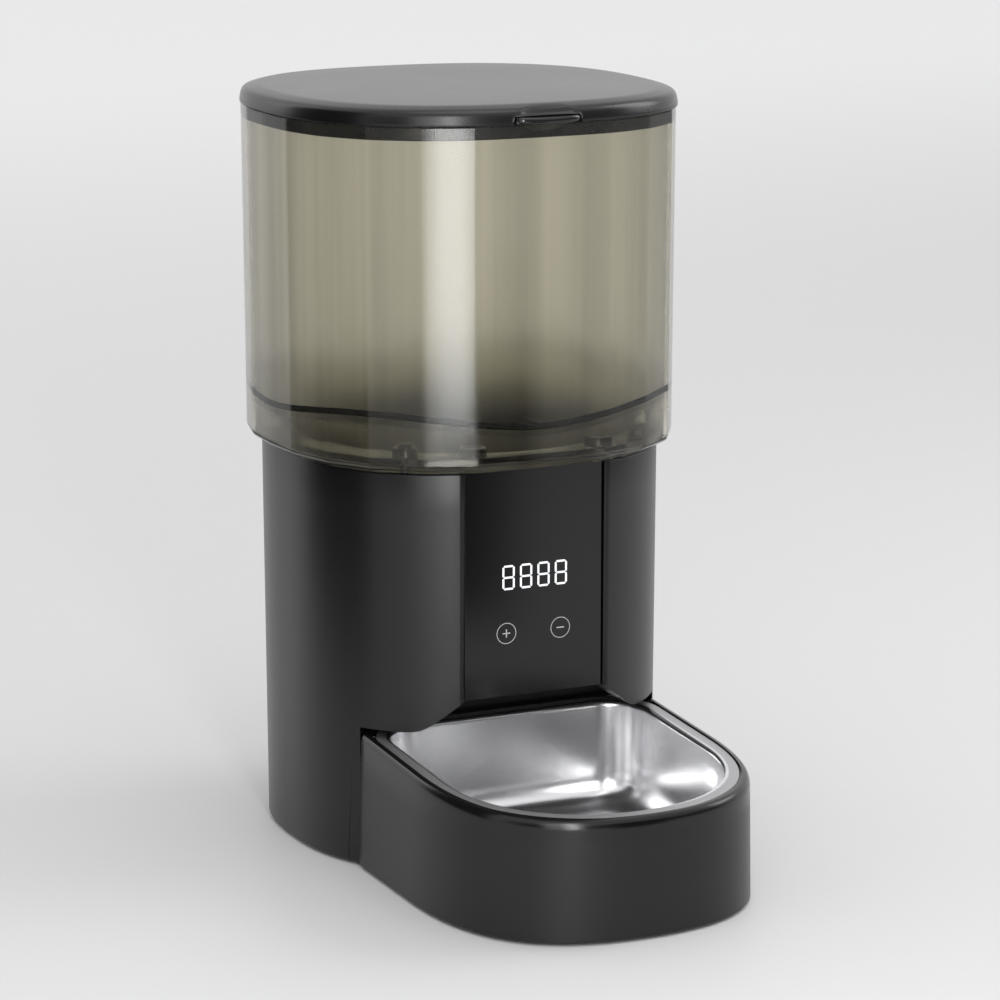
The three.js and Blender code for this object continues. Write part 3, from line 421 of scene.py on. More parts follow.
def smoke_clear(name, tint, gloss=0.16, streak=0.08, neck_shade_reach=None):
    """Smoke-tinted clear plastic, a little hazy, so that what touches it shows sharply and
    what is far behind it melts away, with faint upright streaks in its gloss and, as painted
    light, in its colour: lighter and darker bands that stand for those the faceted walls refract
    and reflect. The last argument is the two distances from the tower's axis, in metres, between
    which the colour darkens as painted shade towards the funnel's neck."""
    f = Finish(name, IOR=1.4, Transmission_Weight=1.0)
    upright_streaks = f.noise(42.0, 4.0, 0.6, f.stretched((1.0, 1.0, 0.02))).band(0.34, 0.66)
    # painted light: the upright streaks make the colour lighter and darker in bands
    shade = f.blend(upright_streaks, tuple(c * 0.84 for c in tint), tuple(min(c * 1.1, 1.0) for c in tint))
    if neck_shade_reach:
        x, y = f.axis("X"), f.axis("Y") - AXIS_Y * 0.001
        near = (x * x + y * y).band(neck_shade_reach[0] ** 2, neck_shade_reach[1] ** 2)
        # painted shade: between these distances the colour falls to 0.06 of the tint, towards the funnel's
        # neck
        shade = f.blend(near, shade, tuple(c * 0.06 for c in tint))
    f.feed("Base Color", shade)
    f.feed("Roughness", gloss - streak / 2 + upright_streaks * streak + f.attribute("frost") * 0.24)
    f.bump(f.noise(30.0, 2.0, 0.5, f.stretched((1.0, 1.0, 0.15))), 0.00006)
    return f.material


def soft_rubber(name, colour):
    f = Finish(name, Specular_IOR_Level=0.35)
    dust = f.noise(120.0, 5.0, 0.65)
    f.feed("Base Color", f.blend(dust, colour, tuple(c * 1.6 + 0.004 for c in colour)))
    f.feed("Roughness", 0.62 + dust * 0.2)
    f.bump(f.noise(1500.0), 0.00002)
    return f.material


def metal(name, colour, gloss, spread=0.06, scratch=0.000004):
    """Bare metal with fine wear: a little clouding and hairline marks along X."""
    f = Finish(name, Metallic=1.0)
    cloud = f.noise(30.0, 4.0)
    hair = f.noise(700.0, 2.0, 0.5, f.stretched((0.03, 1.0, 1.0)))
    f.feed("Base Color", f.blend(cloud, tuple(c * 0.93 for c in colour), colour))
    f.feed("Roughness", gloss - spread / 2 + cloud * spread + hair * 0.04)
    f.bump(hair, scratch)
    return f.material


def plain_moulding(name, colour, gloss):
    f = Finish(name, Specular_IOR_Level=0.45)
    cloud = f.noise(60.0, 4.0)
    pale = tuple(min(1.0, c * 1.08) for c in colour)
    f.feed("Base Color", f.blend(cloud, tuple(c * 0.9 for c in colour), pale))
    f.feed("Roughness", gloss + cloud * 0.1)
    f.bump(f.noise(1200.0), 0.00001)
    return f.material


def board_finish(name, colour):
    """Circuit board: green mask with a fine copper track pattern."""
    f = Finish(name, Specular_IOR_Level=0.5, Coat_Weight=0.3, Coat_Roughness=0.1)
    tracks = f.cells(340.0).band(0.42, 0.5)
    f.feed("Base Color", f.blend(tracks, colour, tuple(c * 1.9 + 0.01 for c in colour)))
    f.feed("Roughness", 0.28 + tracks * 0.12)
    f.bump(tracks, 0.00003)
    return f.material


def bowl_finish(name, colour):
    """Polished pressing with a satin flange; the mesh holds where the satin is, and how deep in the bowl a
    point lies, where the colour is darkened as painted shade.
    """
    f = Finish(name, Metallic=1.0)
    satin = f.attribute("satin")
    cloud = f.noise(20.0, 4.0)
    lap = f.noise(420.0, 2.0, 0.5, f.stretched((1.0, 0.06, 1.0)))
    # painted shade: the bowl's floor and lower round take 0.42 of the steel colour
    lower = f.blend(f.attribute("deep"), colour, tuple(c * 0.42 for c in colour))
    f.feed("Base Color", f.blend(satin, lower, tuple(c * 0.6 for c in colour)))
    f.feed("Roughness", 0.20 + cloud * 0.05 + satin * 0.24 + lap * 0.03)
    f.bump(lap * 0.5 + cloud * 2.0, 0.000012)
    return f.material


def lit_print(name, colour, strength):
    """White that glows a little, for display segments and key rings."""
    f = Finish(name, Roughness=0.5, Specular_IOR_Level=0.2, Emission_Strength=strength)
    grain = f.noise(900.0, 2.0)
    shade = f.blend(grain, tuple(c * 0.92 for c in colour), colour)
    f.feed("Base Color", shade)
    f.feed("Emission Color", shade)
    return f.material


# -------------------------------------------------------------------- settings


def colour_property(name, description, default):
    return FloatVectorProperty(name=name, description=description, default=default,
                               subtype="COLOR", size=3, min=0.0, max=1.0)


class FeederSizes(bpy.types.PropertyGroup):
    """Sizes a maker might change, in millimetres."""

    lid_rounding: FloatProperty(name="Lid rounding",
                                description="Radius of the lid's top edge, in millimetres",
                                default=5.0, min=1.0, max=7.0)
    gasket_height: FloatProperty(name="Gasket height",
                                 description="Height of the wavy gasket, in millimetres",
                                 default=2.7, min=1.0, max=4.0)
    digit_height: FloatProperty(name="Digit height", description="Height of a display digit, in millimetres",
                                default=10.7, min=6.0, max=14.0)
    digit_width: FloatProperty(name="Digit width", description="Width of a display digit, in millimetres",
                               default=5.75, min=3.0, max=9.0)
    digit_pitch: FloatProperty(name="Digit pitch", description="From one digit to the next, in millimetres",
                               default=8.2, min=4.0, max=12.0)
    key_ring: FloatProperty(name="Key ring", description="Diameter of a touch key's ring, in millimetres",
                            default=9.2, min=5.0, max=14.0)
    bowl_rounding: FloatProperty(name="Bowl rounding",
                                 description="Radius at the bowl's floor, in millimetres",
                                 default=23.0, min=4.0, max=26.0)


class FeederColours(bpy.types.PropertyGroup):
    """Colours a maker might change."""

    shell: colour_property("Shell", "Satin black of tower and tray", (0.004, 0.004, 0.0041))
    lid: colour_property("Lid", "Black of the lid", (0.004, 0.004, 0.0041))
    panel: colour_property("Panel", "Gloss black of the front panel", (0.003, 0.003, 0.0031))
    smoke: colour_property("Smoke", "Tint of the clear tank", (0.70, 0.68, 0.585))
    steel: colour_property("Steel", "Polished steel of the bowl", (0.85, 0.85, 0.86))
    light: colour_property("Light", "Display digits and key rings", (0.95, 0.97, 1.0))
    floor: colour_property("Floor", "Studio floor and backdrop", (0.95, 0.95, 0.95))


class FeederOperator(bpy.types.Operator):
    """Shared ways of the feeder's builders."""

    bl_options = {"REGISTER", "UNDO"}

    @staticmethod
    def settings(context):
        return context.scene.feeder_sizes, context.scene.feeder_colours

    @staticmethod
    def finish_piece(piece, material, body, slot, *replaced):
        piece.data.materials.append(material)
        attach(piece, body)
        if replaced:
            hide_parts(*replaced)
        return piece


# ------------------------------------------------------------------------- lid


def front_crowded(count):
    """Angles round the piece, closer together at the front: a less 0.72 of sin a."""
    even = np.linspace(0, 2 * math.pi, count, endpoint=False)
    return even - 0.72 * np.sin(even)


class FEEDER_OT_lid(FeederOperator):
    """Lid cover, its seal skirt and the crescent latch button"""

    bl_idname = "feeder.lid"
    bl_label = "Lid"

    def execute(self, context):
        sizes, colours = self.settings(context)
        black = moulded_black("lid_satin_black", colours.lid, 0.26, 0.000004)
        r = sizes.lid_rounding
        top, bottom = LID_HIGH[2], LID_LOW[2] + 6.1
        skirt = LID_LOW[2]
        under = top - 2.4
        corners = [
            (74, top, 0), (26, top, 0), (7.5, top - 0.15, 14), (0.9, top - 1.9, r), (0, bottom + 1.2, 3),
            (0.1, bottom, 0.3), (4.2, bottom, 0.3), (4.4, under, 0.5), (5.9, under, 0.5), (5.9, skirt, 0.4),
            (8.1, skirt, 0.4), (8.1, under, 0.5), (74, under, 0),
        ]
        profile = round_profile(corners, closed=False, steps=5)
        angle = front_crowded(240)
        inset, z = profile[:, :1], profile[:, 1:]
        radius = power_radius(angle[None], LID_HALF - inset, LID_HALF - inset, PLAN_POWER)
        hugging = (inset > 5.5) & (inset < 20) & (z < top - 2)
        against_wall = smooth_inner(angle[None], inset - 6.3, z)
        radius = np.where(hugging, against_wall, radius)
        xy = polar_loop(radius, np.broadcast_to(angle, radius.shape))
        rows = np.dstack([xy, np.broadcast_to(z, radius.shape)])
        over_latch = (np.abs(rows[..., 0]) < LATCH_HALF + 1.1) & (rows[..., 1] < 0) & (inset < 5.5)
        rows[..., 2] = np.where(over_latch, np.maximum(rows[..., 2], LATCH_TOP + 0.5), rows[..., 2])
        rows = self.press_scoop(rows)
        cover = make_capped("lid_moulding", rows[:, ::-1], 40)
        self.finish_piece(cover, black, "lid", "black_shell", "lid_cover")
        self.seal()
        self.latch()
        self.spring()
        return {"FINISHED"}

    @staticmethod
    def press_scoop(rows):
        """Pushes the front edge in above the latch: a smooth dish 1.8 mm deep at its middle,
        1.8 times the 0.7 power of 1 - (x/12.5)^2 - (height/2.6)^2, where that is positive."""
        x, y, z = rows[..., 0], rows[..., 1], rows[..., 2]
        dish = np.clip(1 - (x / 12.5) ** 2 - ((z - (LID_HIGH[2] - 3.2)) / 2.6) ** 2, 0, 1) ** 0.7
        outside = (y < -70) & (z > LATCH_TOP + 0.3)
        rows[..., 1] += np.where(outside, 1.8 * dish, 0)
        return rows

    def seal(self):
        """Rubber ring on the skirt with two rounded lips."""
        low, high = extent("lid_seal")
        angle = np.linspace(0, 2 * math.pi, 200, endpoint=False)
        z0, z1 = low[2], high[2]
        corners = [(3.4, z0, 0.2), (0, z0 + 0.1, 0.5), (0.9, (z0 + z1) / 2, 0.2), (0, z1 - 0.1, 0.5),
                   (3.4, z1, 0.2)]
        profile = round_profile(corners, steps=3)
        inset, z = profile[:, :1], profile[:, 1:]
        radius = smooth_inner(angle[None], inset - 0.5, z)
        xy = polar_loop(radius, np.broadcast_to(angle, radius.shape))
        ring = make_ring("lid_seal_ring", np.dstack([xy, np.broadcast_to(z, radius.shape)]))
        rubber = soft_rubber("seal_rubber", (0.012, 0.012, 0.012))
        self.finish_piece(ring, rubber, "lid", "black_rubber", "lid_seal")

    def latch(self):
        """Crescent button on the front of the latch plate: in plan an oval 5.3 mm deep whose
        front is fuller than its back; its ends are thinner and rise by (x / half width)^2;
        the rim is round and the top has a shallow dish for the fingertip."""
        shape = np.array([(5.0, 0.2), (2.2, 0.0), (1.3, 0.05), (0.6, 0.35), (0.15, 0.9), (0.0, 1.5),
                          (0.15, 2.1), (0.55, 2.6), (1.1, 2.95), (1.6, 3.0), (2.3, 2.75), (3.2, 2.4),
                          (5.0, 2.2)])
        turn = np.linspace(0, 2 * math.pi, 120, endpoint=False)
        inset = shape[:, :1]
        across = np.sign(np.cos(turn)) * np.abs(np.cos(turn)) ** 0.8
        x = (LATCH_HALF + 0.3 - inset) * across
        reach = np.where(np.sin(turn) > 0, 3.1, 2.2) * (1 - inset / 5.4)
        y = LATCH_MIDDLE - reach * np.sin(turn)
        end = (x / LATCH_HALF) ** 2
        z = LATCH_TOP - 3.0 + shape[:, 1:] * (1 - 0.12 * end) + 0.6 * end
        rows = np.dstack([x, y, z])
        pad = make_capped("latch_crescent", rows[:, ::-1], 50)
        gloss = gloss_black("latch_gloss", (0.008, 0.008, 0.008), 0.07)
        self.finish_piece(pad, gloss, "latch", "gloss_black")


    def spring(self):
        """Coil spring behind the latch: a tube whose middle line is a helix, closed at both
        ends; the last three quarters of a turn at each end lie flat."""
        low, high = extent("latch_spring")
        wire, coils = 0.26, 7
        radius = (high[0] - low[0]) / 2 - wire
        height = (low[2] + high[2]) / 2
        front, back = low[1] - AXIS_Y + wire, high[1] - AXIS_Y - wire
        t = np.linspace(0, 1, coils * 20)
        angle = t * coils * 2 * math.pi
        flat = 0.75 / coils
        along = front + (back - front) * np.clip((t - flat) / (1 - 2 * flat), 0, 1)
        away = np.stack([np.cos(angle), 0 * t, np.sin(angle)], -1)
        middle = radius * away + np.stack([0 * t, along, height + 0 * t], -1)
        turn = np.linspace(0, 2 * math.pi, 10, endpoint=False)[:, None]
        round_wire = np.cos(turn) * away[:, None] + np.sin(turn) * np.array([0.0, 1.0, 0.0])
        tube = middle[:, None] + wire * round_wire
        coil = make_capped("latch_coil", tube, 50)
        steel = metal("spring_wire", (0.52, 0.52, 0.53), 0.3)
        self.finish_piece(coil, steel, "lid", "plain_steel", "latch_spring")
        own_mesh(coil)


# ------------------------------------------------------------------------ tank


def smooth_inner(angle, inset, z):
    """Polar radius of the tank's smooth inner wall, at a distance in from it."""
    lean = DRAFT * (z - TANK_HIGH[2])
    return power_radius(angle, 88.0 + lean - inset, 85.4 + lean - inset, INNER_POWER)


def cone_height(radius):
    return CONE_RIM_HEIGHT - CONE_SLOPE * (CONE_RIM_RADIUS - radius)


class FEEDER_OT_tank(FeederOperator):
    """Clear tank wall, funnel, wavy gasket and the ring with pillars under them"""

    bl_idname = "feeder.tank"
    bl_label = "Tank"

    def execute(self, context):
        sizes, colours = self.settings(context)
        self.wall(colours)
        self.funnel(colours)
        self.gasket(sizes)
        self.base(colours)
        return {"FINISHED"}

    def wall(self, colours):
        """22 flats outside, smooth inside, and a small round on both rims."""
        low, high = TANK_LOW[2], TANK_HIGH[2]
        angle = FACET_COLUMNS
        z_out = np.array([low, low + 0.5, *np.linspace(low + 4, high - 4, 8), high - 0.5, high])
        pull_out = np.array([0.4, 0.0, *([0.0] * 8), 0.0, 0.4])
        outer = [polar_loop(facet_radius(angle, TANK_HALF + DRAFT * (z - high)) - p, angle)
                 for z, p in zip(z_out, pull_out)]
        inner = [polar_loop(smooth_inner(angle, 0.4 if z in (low, high) else 0.0, z), angle)
                 for z in z_out[::-1]]
        loops = outer + inner
        heights = np.concatenate([z_out, z_out[::-1]])
        rows = np.dstack([np.array(loops), np.broadcast_to(heights[:, None], (len(heights), len(angle)))])
        wall = make_ring("clear_tank", rows, 14)
        frost = np.clip((z_out[::-1] - low - 6) / 14, 0, 1)
        store(wall, "frost", np.concatenate([0 * frost, frost]), len(angle))
        clear = smoke_clear("smoke_tank_wall", colours.smoke, 0.13)
        self.finish_piece(wall, clear, "tank", "smoke_clear", "tank_wall")

    def funnel(self, colours):
        """A 40 degree cone that ends on the smooth inner wall, and a short neck."""
        angle = np.linspace(0, 2 * math.pi, 220, endpoint=False)
        rim = smooth_inner(angle, 0.3, 200.0)
        low = extent("funnel")[0]
        neck, sheet = FUNNEL_NECK, FUNNEL_SHEET
        drop = sheet * math.hypot(1, CONE_SLOPE)
        share = np.linspace(0, 1, 14)[:, None]
        top_r = neck + (rim - neck) * share
        under_r = top_r[::-1] + np.array([0.0] * 13 + [sheet])[:, None]
        radius = np.vstack([np.full((1, 220), neck), top_r, under_r, np.full((1, 220), neck + sheet)])
        foot = np.full((1, 220), low[2])
        z = np.vstack([foot, cone_height(top_r), cone_height(under_r) - drop, foot])
        rows = np.dstack([polar_loop(radius, np.broadcast_to(angle, radius.shape)), z])
        cone = make_ring("clear_funnel", rows[:, ::-1], 30)
        # painted shade: the funnel's colour darkens from 80 mm to 45 mm from the axis, towards its neck
        clear = smoke_clear("smoke_funnel", colours.smoke, 0.34, 0.08, (0.080, 0.045))
        self.finish_piece(cone, clear, "tank", "smoke_clear", "funnel")

    def gasket(self, sizes):
        """A rubber band just above the line where the cone meets the wall. Its outer side is
        pressed into the wall, so that its line shows sharp through the clear plastic."""
        angle = np.linspace(0, 2 * math.pi, 260, endpoint=False)
        v = np.linspace(0, 2 * math.pi, 10, endpoint=False)
        half = sizes.gasket_height / 2
        along = np.sign(np.cos(v)) * np.abs(np.cos(v)) ** 0.5
        up = np.sign(np.sin(v)) * np.abs(np.sin(v)) ** 0.5
        rim = smooth_inner(angle, 0.35, 197.0)
        radius = rim[None] + 0.5 + 0.85 * along[:, None]
        z = cone_height(rim)[None] + 0.35 + half + half * up[:, None] + 0 * radius
        rows = np.dstack([polar_loop(radius, np.broadcast_to(angle, radius.shape)), z])
        band = make_ring("wavy_gasket", rows, 50)
        rubber = soft_rubber("gasket_rubber", (0.006, 0.006, 0.006))
        self.finish_piece(band, rubber, "tank", "black_rubber", "funnel_seal")

    def base(self, colours):
        """Ring with a rounded lower edge, a step inside the wall, and eight stepped pillars."""
        low, rim, step = TANK_BOTTOM, TANK_LOW[2] - 0.3, TANK_LOW[2] + 2.7
        half = TANK_HALF - 0.7
        corners = [(11.0, low, 0.3), (6.6, low, 0.8), (5.0, low + 0.1, 1.0), (0.6, low + 2.6, 2.2),
                   (0, rim, 0.3), (2.5, rim, 0.2), (2.6, step, 0.4), (11.0, step, 0.4)]
        profile = round_profile(corners, steps=3)
        angle = FACET_COLUMNS
        loops = np.array([facet_radius(angle, half - i, 0.0) for i in profile[:, 0]])
        hole = profile[:, 0] > 10.5
        loops[hole] = np.minimum(loops[hole], 76.4)
        rows = np.dstack([polar_loop(loops, np.broadcast_to(angle, loops.shape)),
                          np.broadcast_to(profile[:, 1:], loops.shape)])
        # painted shade: the base ring and its pillars take the tank's tint darkened to about a quarter, for
        # the dark works seen behind them
        shaded_smoke = tuple(c * k for c, k in zip(colours.smoke, (0.27, 0.27, 0.285)))
        clear = smoke_clear("smoke_base", shaded_smoke, 0.12)
        ring = make_ring("clear_base_ring", rows, 25)
        self.finish_piece(ring, clear, "tank", "smoke_clear", "tank_base")
        posts = []
        turn = np.linspace(0, 2 * math.pi, 28, endpoint=False)
        for x in (-54, -29, 29, 54):
            for y in (-66, -78, 66, 78):
                if (abs(x) == 54) == (abs(y) == 66):
                    top = min(step + 13, cone_height(math.hypot(x, y) - 3) - 3.0)
                    shape = round_profile([(0.2, step - 0.5, 0), (5.5, step - 0.5, 0), (5.5, step + 4, 0.5),
                                           (3, step + 4, 0.3), (3, top, 0.5), (0.2, top, 0)],
                                          closed=False, steps=3)
                    ring_rows = np.dstack([x + shape[:, :1] * np.cos(turn), y + shape[:, :1] * np.sin(turn),
                                           shape[:, 1:] + 0 * turn])
                    count = len(shape)
                    cloud = ring_rows.reshape(-1, 3)
                    posts.append((cloud, [grid_faces(count, 28, False, True),
                                          [list(range(27, -1, -1))],
                                          [list(range((count - 1) * 28, count * 28))]]))
        pillars = merge_pieces("clear_pillars", posts)
        self.finish_piece(pillars, clear, "tank", "smoke_clear")


# ----------------------------------------------------------------------- tower


def mouth_height(x):
    """Height of the opening's upper edge over x: flat in the middle, a slope down on each
    side, eased where it meets the flat shoulder."""
    x = np.abs(x)
    slope = (MOUTH_TOP - BAY_TOP) / (MOUTH_FOOT_HALF - MOUTH_HALF + 0.5)
    line = MOUTH_TOP - slope * (x - MOUTH_HALF + 0.4)
    soft = 2.2
    top = -np.logaddexp(-line * soft, -MOUTH_TOP * soft) / soft
    return np.logaddexp(top * 0.75, BAY_TOP * 0.75) / 0.75


class FEEDER_OT_tower(FeederOperator):
    """Tower shell with its recess and mouth, and the lining of the tray's bay"""

    bl_idname = "feeder.tower"
    bl_label = "Tower"

    def execute(self, context):
        _, colours = self.settings(context)
        black = moulded_black("shell_satin_black", colours.shell, 0.31, shine=0.5)
        self.shell(black)
        # painted shade: the bay's lining takes the shell's black darkened to 0.35
        self.lining(moulded_black("bay_shaded_black", tuple(c * 0.35 for c in colours.shell), 0.5))
        return {"FINISHED"}

    @staticmethod
    def columns():
        """Distances from the middle of the front columns: across the flat recess, over its
        edge, and over the slope beside it."""
        flat = np.linspace(0, PANEL_HALF + 0.149, 9)
        recess = [PANEL_HALF + 0.15, PANEL_HALF + 0.15, PANEL_HALF + 0.8]
        slope = np.append(PANEL_HALF + 1.7, np.linspace(PANEL_HALF + 2.6, 70.0, 43))
        return flat, np.array(recess), slope

    def shell(self, black):
        """A closed ring: for each column up the wall a profile runs up the outside, over the
        top, and down the inside; columns over the mouth start at its edge."""
        top, wall = TOWER_HIGH[2], 2.5
        flat, recess, slope = self.columns()
        half_front = np.concatenate([flat, recess, slope, [BAY_EDGE_TOP]])
        kind = np.concatenate([np.zeros(len(flat)), [0, 1, 1], np.ones(len(slope)), [1]])
        bevel = np.concatenate([np.zeros(len(flat)), [0, 1.3, 0.45], np.zeros(len(slope)), [0]])
        edge_angle = float(np.interp(BAY_EDGE_TOP, *self.x_to_angle()))
        back = np.linspace(edge_angle, 2 * math.pi - edge_angle, 181)
        mouth = mouth_height(half_front)
        z_low = np.concatenate([mouth, np.full(len(back), SHELL_BOTTOM), mouth[::-1][:-1]])
        levels_low = np.array([0, 0.004, 0.012, 0.1, 0.25, 0.45, 0.7, 1.0])
        split = 84.0
        rows_z = [z_low + (split - z_low) * s for s in levels_low]
        rows_z += [np.full(len(z_low), z) for z in np.linspace(split, top - 1.0, 7)[1:]]
        rows_z += [np.full(len(z_low), top - 0.5), np.full(len(z_low), top)]
        outside_in = np.zeros(len(rows_z))
        outside_in[0], outside_in[1], outside_in[-1], outside_in[-2] = 0.55, 0.15, 0.6, 0.15
        loops, heights = [], []
        for z, pull in zip(rows_z, outside_in):
            loops.append(self.plan(half_front, kind, bevel, back, z, pull, 0))
            heights.append(z)
        for z, pull in zip(rows_z[::-1], outside_in[::-1]):
            loops.append(self.plan(half_front, kind, bevel * 0, back, z, wall - pull * 0.4, wall))
            heights.append(z)
        rows = np.dstack([np.array(loops), np.array(heights)])
        shell = make_ring("tower_moulding", rows, 30)
        self.finish_piece(shell, black, "tower", "black_shell", "tower_shell")

    @staticmethod
    def x_to_angle():
        angle = np.linspace(0, math.pi / 2, 400)
        return power_radius(angle, TOWER_TOP_HALF, TOWER_TOP_HALF, PLAN_POWER) * np.sin(angle), angle

    @staticmethod
    def plan(half_front, kind, bevel, back, z, pull, behind):
        """(x, y) of every column at its own height z. Columns of kind 0 lie in the recess, a
        distance behind the panel; those of kind 1 follow the tower's plan, less the bevel."""
        n = len(half_front)
        half = TOWER_TOP_HALF - 0.9 * (1 - z / TOWER_HIGH[2]) - pull
        h_right, h_back = half[:n], half[n:n + len(back)]
        x = half_front
        y_curve = -(np.maximum(h_right**PLAN_POWER - x**PLAN_POWER, 0) ** (1 / PLAN_POWER))
        y_right = np.where(kind > 0.5, y_curve + bevel, PANEL_FACE + 2.3 + behind)
        right = np.stack([x, y_right], -1)
        left = np.stack([-x[::-1][:-1], y_right[::-1][:-1]], -1)
        middle = polar_loop(power_radius(back, h_back, h_back, PLAN_POWER), back)
        return np.vstack([right, middle, left])

    def lining(self, black):
        """Inside of the bay: the opening's outline carried straight back, 1.2 thick, with a
        rear wall 1 thick."""
        x = np.linspace(-BAY_EDGE_TOP, BAY_EDGE_TOP, 141)
        z = mouth_height(x)
        foot = BAY_EDGE_FOOT
        sides = np.linspace(SHELL_BOTTOM, BAY_TOP - 0.5, 12)
        sx = foot + (BAY_EDGE_TOP - foot) * (sides - SHELL_BOTTOM) / (BAY_TOP - SHELL_BOTTOM)
        line = np.vstack([np.stack([-sx, sides], -1), np.stack([x, z], -1),
                          np.stack([sx[::-1], sides[::-1]], -1)])
        half = TOWER_TOP_HALF - 1.6
        aside = np.clip(np.abs(line[:, 0]) / half, 0, 1)
        front = np.maximum(-half * (1 - aside**PLAN_POWER) ** (1 / PLAN_POWER), -79.5)
        front = np.where(np.abs(line[:, 0]) < PANEL_HALF + 1, PANEL_FACE + 2.4, front)
        back = np.full(len(line), BAY_BACK)
        deep = np.stack([front, front * 0.5 + back * 0.5, back])
        inner = np.dstack([np.broadcast_to(line[:, 0], deep.shape), deep,
                           np.broadcast_to(line[:, 1], deep.shape)])
        grow = line * 1.0
        grow[:, 0] *= 1 + 1.2 / 72
        grow[:, 1] += 1.2
        outer = np.dstack([np.broadcast_to(grow[:, 0], deep.shape),
                           deep[::-1] + np.array([1.2, 0, 0])[:, None],
                           np.broadcast_to(grow[:, 1], deep.shape)])
        rows = np.concatenate([inner, outer])
        count, around = rows.shape[:2]
        points = rows.reshape(-1, 3)
        faces = grid_faces(count, around, True, False)[:, ::-1]
        start = (np.arange(count) * around)[None]
        end = (np.arange(count) * around + around - 1)[None, ::-1]
        piece = make_mesh("bay_lining", points, [faces, start, end], 30)
        self.finish_piece(piece, black, "tower", "black_shell")
        rear = np.dstack([np.stack([line[:, 0] * 1.004, line[:, 0] * 1.004]),
                          np.broadcast_to(np.array([[BAY_BACK + 0.05], [BAY_BACK + 0.05]]), (2, around)),
                          np.stack([line[:, 1] * 0 + SHELL_BOTTOM, line[:, 1] + 0.6])])
        thick = rear.copy()
        thick[..., 1] += 1.0
        closed = np.concatenate([rear, thick[::-1]])
        cloud = closed.reshape(-1, 3)
        blocks = [grid_faces(4, around, True, False), (np.arange(4) * around)[None, ::-1],
                  (np.arange(4) * around + around - 1)[None]]
        wall = make_mesh("bay_rear_wall", cloud, blocks, 30)
        self.finish_piece(wall, black, "tower", "black_shell")


# ------------------------------------------------------------ panel and display


def flat_piece(outline, y, thick=0.12):
    """A thin upright plate: an outline in (x, z) and its copy behind it."""
    outline = np.asarray(outline, float)
    n = len(outline)
    front = np.stack([outline[:, 0], np.full(n, y), outline[:, 1]], -1)
    back = front + np.array([0, thick, 0])
    j = np.arange(n)
    side = np.stack([j, (j + 1) % n, (j + 1) % n + n, j + n], -1)
    return np.vstack([front, back]), [j[None], (j + n)[None, ::-1], side[:, ::-1]]


def flat_ring(x, z, outer, inner, y, thick=0.12, steps=64):
    """A thin upright ring."""
    turn = np.linspace(0, 2 * math.pi, steps, endpoint=False)
    radius = np.array([outer, inner, inner, outer])[:, None]
    depth = np.array([y, y, y + thick, y + thick])[:, None]
    rows = np.dstack([x + radius * np.cos(turn), depth + 0 * turn, z + radius * np.sin(turn)])
    return rows.reshape(-1, 3), [grid_faces(4, steps, True, True)]


def segment_outlines(width, height, stroke):
    """The seven bars of one digit, each a long hexagon between two joints."""
    w, h, s = width / 2 - stroke / 2, height / 2 - stroke / 2, stroke / 2
    gap = 0.16
    joints = {"tl": (-w, h), "tr": (w, h), "ml": (-w, 0), "mr": (w, 0), "bl": (-w, -h), "br": (w, -h)}
    bars = [("tl", "tr"), ("ml", "mr"), ("bl", "br"), ("tl", "ml"), ("tr", "mr"), ("ml", "bl"), ("mr", "br")]
    out = []
    for a, b in bars:
        a, b = np.array(joints[a]), np.array(joints[b])
        d = (b - a) / np.linalg.norm(b - a)
        n = np.array([-d[1], d[0]])
        a, b = a + d * gap, b - d * gap
        out.append(np.array([a, a + (d - n) * s, b - (d + n) * s, b, b + (n - d) * s, a + (d + n) * s]))
    return out


